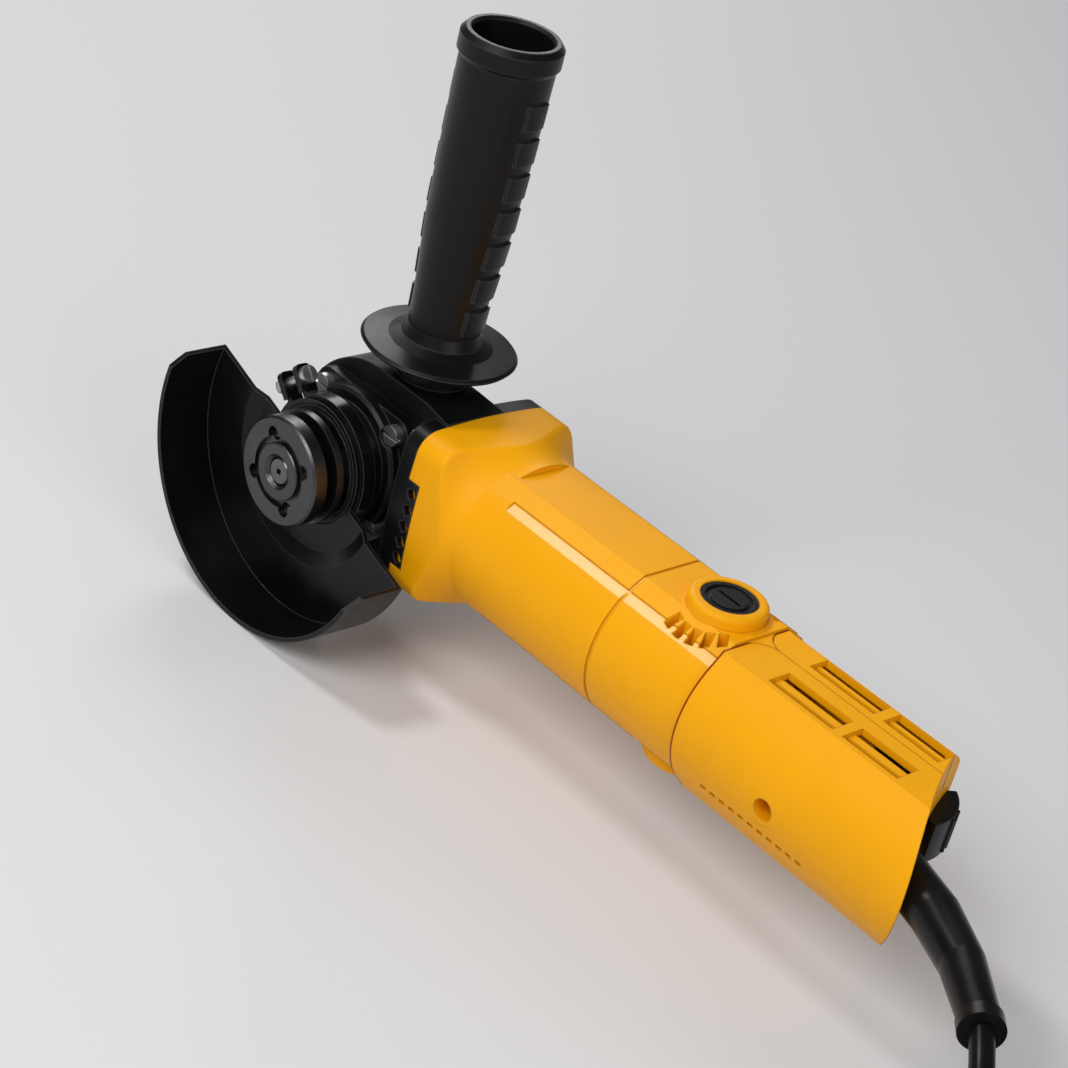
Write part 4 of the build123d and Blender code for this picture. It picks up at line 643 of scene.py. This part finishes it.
def strap_mesh(cord, loop):
    """Band along a loop that stands across the coil's turns, its outer edges chamfered."""
    half = cord.tie_width / 2
    thick = cord.tie_thickness
    chamfer = thick / 2
    section = [(0, -half), (0, half), (chamfer, half), (thick, half - chamfer), (thick, chamfer - half),
               (chamfer, -half)]
    outward = outward_at(TIE_ANGLE)
    centre = coil_centre(cord.diameter / 2) - Vector((0, SEAT_Y, 0))
    form = bmesh.new()
    rings = []
    for reach, level, out in loop:
        ring = []
        for off, aside in section:
            place = centre + outward * (reach + off * out[0]) + across(outward) * aside
            ring.append(form.verts.new((place.x, place.y, level + off * out[1])))
        rings.append(ring)
    for ring, after in zip(rings, rings[1:] + rings[:1]):
        for i in range(len(section)):
            j = (i + 1) % len(section)
            form.faces.new((ring[i], ring[j], after[j], after[i]))
    bmesh.ops.recalc_face_normals(form, faces=form.faces)
    for face in form.faces:
        face.smooth = True
    mesh = bpy.data.meshes.new("coil_strap")
    form.to_mesh(mesh)
    form.free()
    mesh.set_sharp_from_angle(angle=math.radians(TIE_SHARP))
    return mesh


def make_coil_tie(cord):
    """Strap pulled tight round the coil's turns, lying on the floor."""
    first = 1 + (TIE_ANGLE - COIL_START) / 360
    spots = []
    for i in range(int(ALL_TURNS - first) + 1):
        reach = coil_radius(first + i)
        level = coil_height(first + i)
        spots += [(reach - TIE_ROOM, level), (reach + TIE_ROOM, level)]
    lowest = min(level for reach, level in spots)
    mesh = strap_mesh(cord, tight_loop(spots, lowest - FLOOR_Z - cord.tie_thickness))
    mesh.materials.append(finish("tie_moulding"))
    tie = link(bpy.data.objects.new("coil_strap", mesh))
    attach(tie, "body")
    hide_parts("coil_tie")
    return tie


# Springs and the stud's thread

WIRE_TURN_POINTS = 12                # control points in one turn of a spring or thread
WIRE_FINENESS = 2                    # of a wire's section, and of the steps along it


def helix_points(begin, end, radius, turns):
    """Control points of a winding round the line between two points."""
    begin, end = Vector(begin), Vector(end)
    along = (end - begin).normalized()
    first = along.orthogonal().normalized()
    second = along.cross(first)
    count = round(turns * WIRE_TURN_POINTS)
    reach = radius / math.cos(math.pi / WIRE_TURN_POINTS)
    points = []
    for i in range(count + 1):
        angle = 2 * math.pi * i / WIRE_TURN_POINTS
        outward = first * math.cos(angle) + second * math.sin(angle)
        points.append(begin.lerp(end, i / count) + reach * outward)
    return points


def wound_piece(name, wire_r, windings, material):
    """Mesh of one or more windings of a wire, each given as begin, end, radius and turns."""
    curve = round_curve(name, wire_r, WIRE_FINENESS)
    curve.use_fill_caps = True
    for winding in windings:
        add_spline(curve, helix_points(*winding))
    path = link(bpy.data.objects.new(name + "_path", curve))
    graph = bpy.context.evaluated_depsgraph_get()
    mesh = bpy.data.meshes.new_from_object(path.evaluated_get(graph))
    bpy.data.objects.remove(path)
    bpy.data.curves.remove(curve)
    mesh.materials.clear()
    mesh.materials.append(finish(material))
    item = link(bpy.data.objects.new(name, mesh))
    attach(item, "body")
    return item


def make_lock_spring(springs):
    """Spring round the lock button's pin, built at one length; the real one shortens as the button goes in.
    """
    low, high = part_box("spindle_lock_spring")
    middle = (low + high) / 2
    wire_r = springs.lock_wire / 2
    begin = (middle.x, high.y - wire_r, middle.z)
    end = (middle.x, low.y + wire_r, middle.z)
    winding = (begin, end, (high.x - low.x) / 2 - wire_r, springs.lock_turns)
    item = wound_piece("lock_button_spring", wire_r, [winding], "cut_steel")
    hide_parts("spindle_lock_spring")
    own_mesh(item)


def make_brush_springs(springs):
    """Springs that press the carbon brushes on the commutator, above and below."""
    low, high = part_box("brush_springs")
    middle = (low + high) / 2
    brush_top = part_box("carbon_brushes")[1].z
    wire_r = springs.brush_wire / 2
    windings = []
    for side in (1, -1):
        begin = (middle.x, middle.y, side * (brush_top + wire_r))
        end = (middle.x, middle.y, side * (high.z - wire_r))
        windings.append((begin, end, (high.x - low.x) / 2 - wire_r, springs.brush_turns))
    item = wound_piece("brush_pressure_springs", wire_r, windings, "cut_steel")
    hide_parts("brush_springs")


def make_stud_thread(handle):
    """Ridge of the thread on the side handle's stud, where it shows under the grip's flange."""
    low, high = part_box("handle_stud")
    middle = (low + high) / 2
    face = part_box("side_handle_grip")[0].z
    begin = (middle.x, middle.y, face - handle.stud_gap)
    end = (middle.x, middle.y, face)
    winding = (begin, end, (high.x - low.x) / 2, handle.stud_gap / handle.thread_pitch)
    wound_piece("handle_stud_thread", handle.thread_ridge / 2, [winding], "zinc_steel")


# Stage

PHOTO_SIDE = 1068.0                  # photograph's width and height, in pixels
SENSOR_WIDTH = 36.0                  # of the camera, in millimetres
CLIP_START = 0.01
FLOOR_HALF = 8.0
FLOOR_DROP = 0.0003                  # keeps the floor's surface under what stands on it
PAPER_LIT = (0.9, 2.4)               # distances where the floor's own colour starts to show and shows alone
LAMP_TARGET = (-0.09, -0.03, 0.03)
WORLD_COLOUR = (0.9, 0.92, 0.95)
WORLD_STRENGTH = 0.14

# Lamps: place, size, and power in watts
LAMPS = {
    "key_lamp": ((-0.25, 1.1, 1.1), (1.0, 0.8), 15.0),
    "side_lamp": ((-1.3, 0.2, 0.5), (0.9, 0.9), 5.0),
    "top_lamp": ((0.58, 0.26, 1.08), (0.24, 0.24), 4.8),
    "back_lamp": ((1.05, -0.8, 0.85), (0.7, 0.6), 7.0),
}


def make_camera(studio):
    """Camera at the photograph's place and angle."""
    right = Vector(studio.camera_right).normalized()
    up = Vector(studio.camera_up)
    up = (up - right * up.dot(right)).normalized()
    back = right.cross(up)
    data = bpy.data.cameras.new("photo_camera")
    data.sensor_width = SENSOR_WIDTH
    data.sensor_fit = "HORIZONTAL"
    data.lens = studio.focal / PHOTO_SIDE * SENSOR_WIDTH
    data.clip_start = CLIP_START
    camera = link(bpy.data.objects.new("photo_camera", data))
    turn = Matrix((right, up, back)).transposed().to_4x4()
    camera.matrix_world = Matrix.Translation(Vector(studio.camera_at)) @ turn
    bpy.context.scene.camera = camera


def floor_paper(studio):
    """Matt paper, which far from the object shows its own colour to the camera and in reflections."""
    material, tree, shader = new_material("floor_paper", studio.floor, roughness=0.9, specular=0.1)
    distance = vector_number(tree, "LENGTH", object_place(tree))
    far = map_range(tree, distance, PAPER_LIT, 0.0, 1.0)
    far.interpolation_type = "SMOOTHSTEP"
    rays = tree.nodes.new("ShaderNodeLightPath").outputs
    mirrored = number(tree, "MAXIMUM", rays["Is Glossy Ray"], rays["Is Transmission Ray"])
    seen = number(tree, "MAXIMUM", rays["Is Camera Ray"], mirrored)
    glow = tree.nodes.new("ShaderNodeEmission")
    glow.inputs["Color"].default_value = (*studio.floor, 1)
    mix = tree.nodes.new("ShaderNodeMixShader")
    tree.links.new(number(tree, "MULTIPLY", far.outputs["Result"], seen), mix.inputs["Fac"])
    tree.links.new(shader.outputs["BSDF"], mix.inputs[1])
    tree.links.new(glow.outputs["Emission"], mix.inputs[2])
    tree.links.new(mix.outputs["Shader"], tree.nodes["Material Output"].inputs["Surface"])
    return material


def make_floor(studio):
    """Wide flat floor under the guard's rim."""
    mesh = bpy.data.meshes.new("floor")
    form = bmesh.new()
    bmesh.ops.create_grid(form, x_segments=1, y_segments=1, size=FLOOR_HALF)
    bmesh.ops.translate(form, vec=(0, 0, FLOOR_Z - FLOOR_DROP), verts=form.verts)
    form.to_mesh(mesh)
    form.free()
    mesh.materials.append(floor_paper(studio))
    link(bpy.data.objects.new("floor", mesh))


def make_lamp(name, place, size, power):
    """Soft lamp that shines at the tool."""
    data = bpy.data.lights.new(name, "AREA")
    data.shape = "RECTANGLE"
    data.size, data.size_y = size
    data.energy = power
    lamp = link(bpy.data.objects.new(name, data))
    lamp.location = place
    lamp.rotation_euler = (Vector(LAMP_TARGET) - Vector(place)).to_track_quat("-Z", "Y").to_euler()


def make_world():
    """Even light from all round."""
    world = bpy.data.worlds.new("studio")
    bpy.context.scene.world = world
    world.use_nodes = True
    background = world.node_tree.nodes["Background"]
    background.inputs["Color"].default_value = (*WORLD_COLOUR, 1)
    background.inputs["Strength"].default_value = WORLD_STRENGTH


# Operators

class GRINDER_OT_stage(bpy.types.Operator):
    """Camera, floor and lamps"""
    bl_idname = "grinder.stage"
    bl_label = "Stage"

    def execute(self, context):
        studio = context.scene.grinder_studio
        context.scene.view_settings.view_transform = "Standard"
        make_camera(studio)
        make_floor(studio)
        for name, lamp in LAMPS.items():
            make_lamp(name, *lamp)
        make_world()
        return {"FINISHED"}


class GRINDER_OT_cord(bpy.types.Operator):
    """Power cord from the boot to the plug, put away in a coil with its strap"""
    bl_idname = "grinder.cord"
    bl_label = "Cord"

    def execute(self, context):
        cord = context.scene.grinder_cord
        make_cord(cord, make_coil_tie(cord))
        dress(CORD)
        return {"FINISHED"}


class GRINDER_OT_springs(bpy.types.Operator):
    """Wound springs of the lock button and the brushes"""
    bl_idname = "grinder.springs"
    bl_label = "Springs"

    def execute(self, context):
        springs = context.scene.grinder_springs
        make_lock_spring(springs)
        make_brush_springs(springs)
        return {"FINISHED"}


class GRINDER_OT_handle(bpy.types.Operator):
    """Side handle, and the thread of its stud"""
    bl_idname = "grinder.handle"
    bl_label = "Side handle"

    def execute(self, context):
        make_stud_thread(context.scene.grinder_handle)
        dress(HANDLE)
        return {"FINISHED"}


class GRINDER_OT_housing(bpy.types.Operator):
    """Motor housing and rear cover"""
    bl_idname = "grinder.housing"
    bl_label = "Housing"

    def execute(self, context):
        dress(HOUSING)
        return {"FINISHED"}


class GRINDER_OT_head(bpy.types.Operator):
    """Gear case, bearing cover and lock button"""
    bl_idname = "grinder.head"
    bl_label = "Gear head"

    def execute(self, context):
        dress(HEAD)
        return {"FINISHED"}


class GRINDER_OT_guard(bpy.types.Operator):
    """Guard and its clamp"""
    bl_idname = "grinder.guard"
    bl_label = "Guard"

    def execute(self, context):
        dress(GUARD)
        return {"FINISHED"}


class GRINDER_OT_spindle(bpy.types.Operator):
    """Spindle with its nut, gears and bearings"""
    bl_idname = "grinder.spindle"
    bl_label = "Spindle and gears"

    def execute(self, context):
        dress(SPINDLE)
        return {"FINISHED"}


class GRINDER_OT_motor(bpy.types.Operator):
    """Armature, stator, fan, and the brushes with their caps"""
    bl_idname = "grinder.motor"
    bl_label = "Motor"

    def execute(self, context):
        dress(MOTOR)
        return {"FINISHED"}


class GRINDER_OT_switch(bpy.types.Operator):
    """Switch and its lever"""
    bl_idname = "grinder.switch"
    bl_label = "Switch"

    def execute(self, context):
        dress(SWITCH)
        return {"FINISHED"}


class GRINDER_PT_panel(bpy.types.Panel):
    """Steps of the grinder's scene, and their settings"""
    bl_idname = "GRINDER_PT_panel"
    bl_label = "Mini angle grinder"
    bl_space_type = "VIEW_3D"
    bl_region_type = "UI"
    bl_category = "Grinder"

    def draw(self, context):
        layout = self.layout
        for step in STEPS:
            layout.operator(step.bl_idname)
        for name, group in GROUPS.items():
            box = layout.box()
            box.label(text=group.__doc__)
            for prop in group.__annotations__:
                box.prop(getattr(context.scene, name), prop)


GROUPS = {
    "grinder_housing": HousingSettings,
    "grinder_head": HeadSettings,
    "grinder_handle": HandleSettings,
    "grinder_cord": CordSettings,
    "grinder_springs": SpringSettings,
    "grinder_studio": StudioSettings,
}
STEPS = (
    GRINDER_OT_stage,
    GRINDER_OT_cord,
    GRINDER_OT_springs,
    GRINDER_OT_handle,
    GRINDER_OT_housing,
    GRINDER_OT_head,
    GRINDER_OT_guard,
    GRINDER_OT_spindle,
    GRINDER_OT_motor,
    GRINDER_OT_switch,
)


def register():
    for group in GROUPS.values():
        bpy.utils.register_class(group)
    for name, group in GROUPS.items():
        setattr(bpy.types.Scene, name, PointerProperty(type=group))
    for step in STEPS:
        bpy.utils.register_class(step)
    bpy.utils.register_class(GRINDER_PT_panel)


def unregister():
    bpy.utils.unregister_class(GRINDER_PT_panel)
    for step in reversed(STEPS):
        bpy.utils.unregister_class(step)
    for name in GROUPS:
        delattr(bpy.types.Scene, name)
    for group in reversed(list(GROUPS.values())):
        bpy.utils.unregister_class(group)


def main():
    register()
    bpy.ops.grinder.stage()
    bpy.ops.grinder.cord()
    bpy.ops.grinder.springs()
    bpy.ops.grinder.handle()
    bpy.ops.grinder.housing()
    bpy.ops.grinder.head()
    bpy.ops.grinder.guard()
    bpy.ops.grinder.spindle()
    bpy.ops.grinder.motor()
    bpy.ops.grinder.switch()


if __name__ == "__main__":
    main()
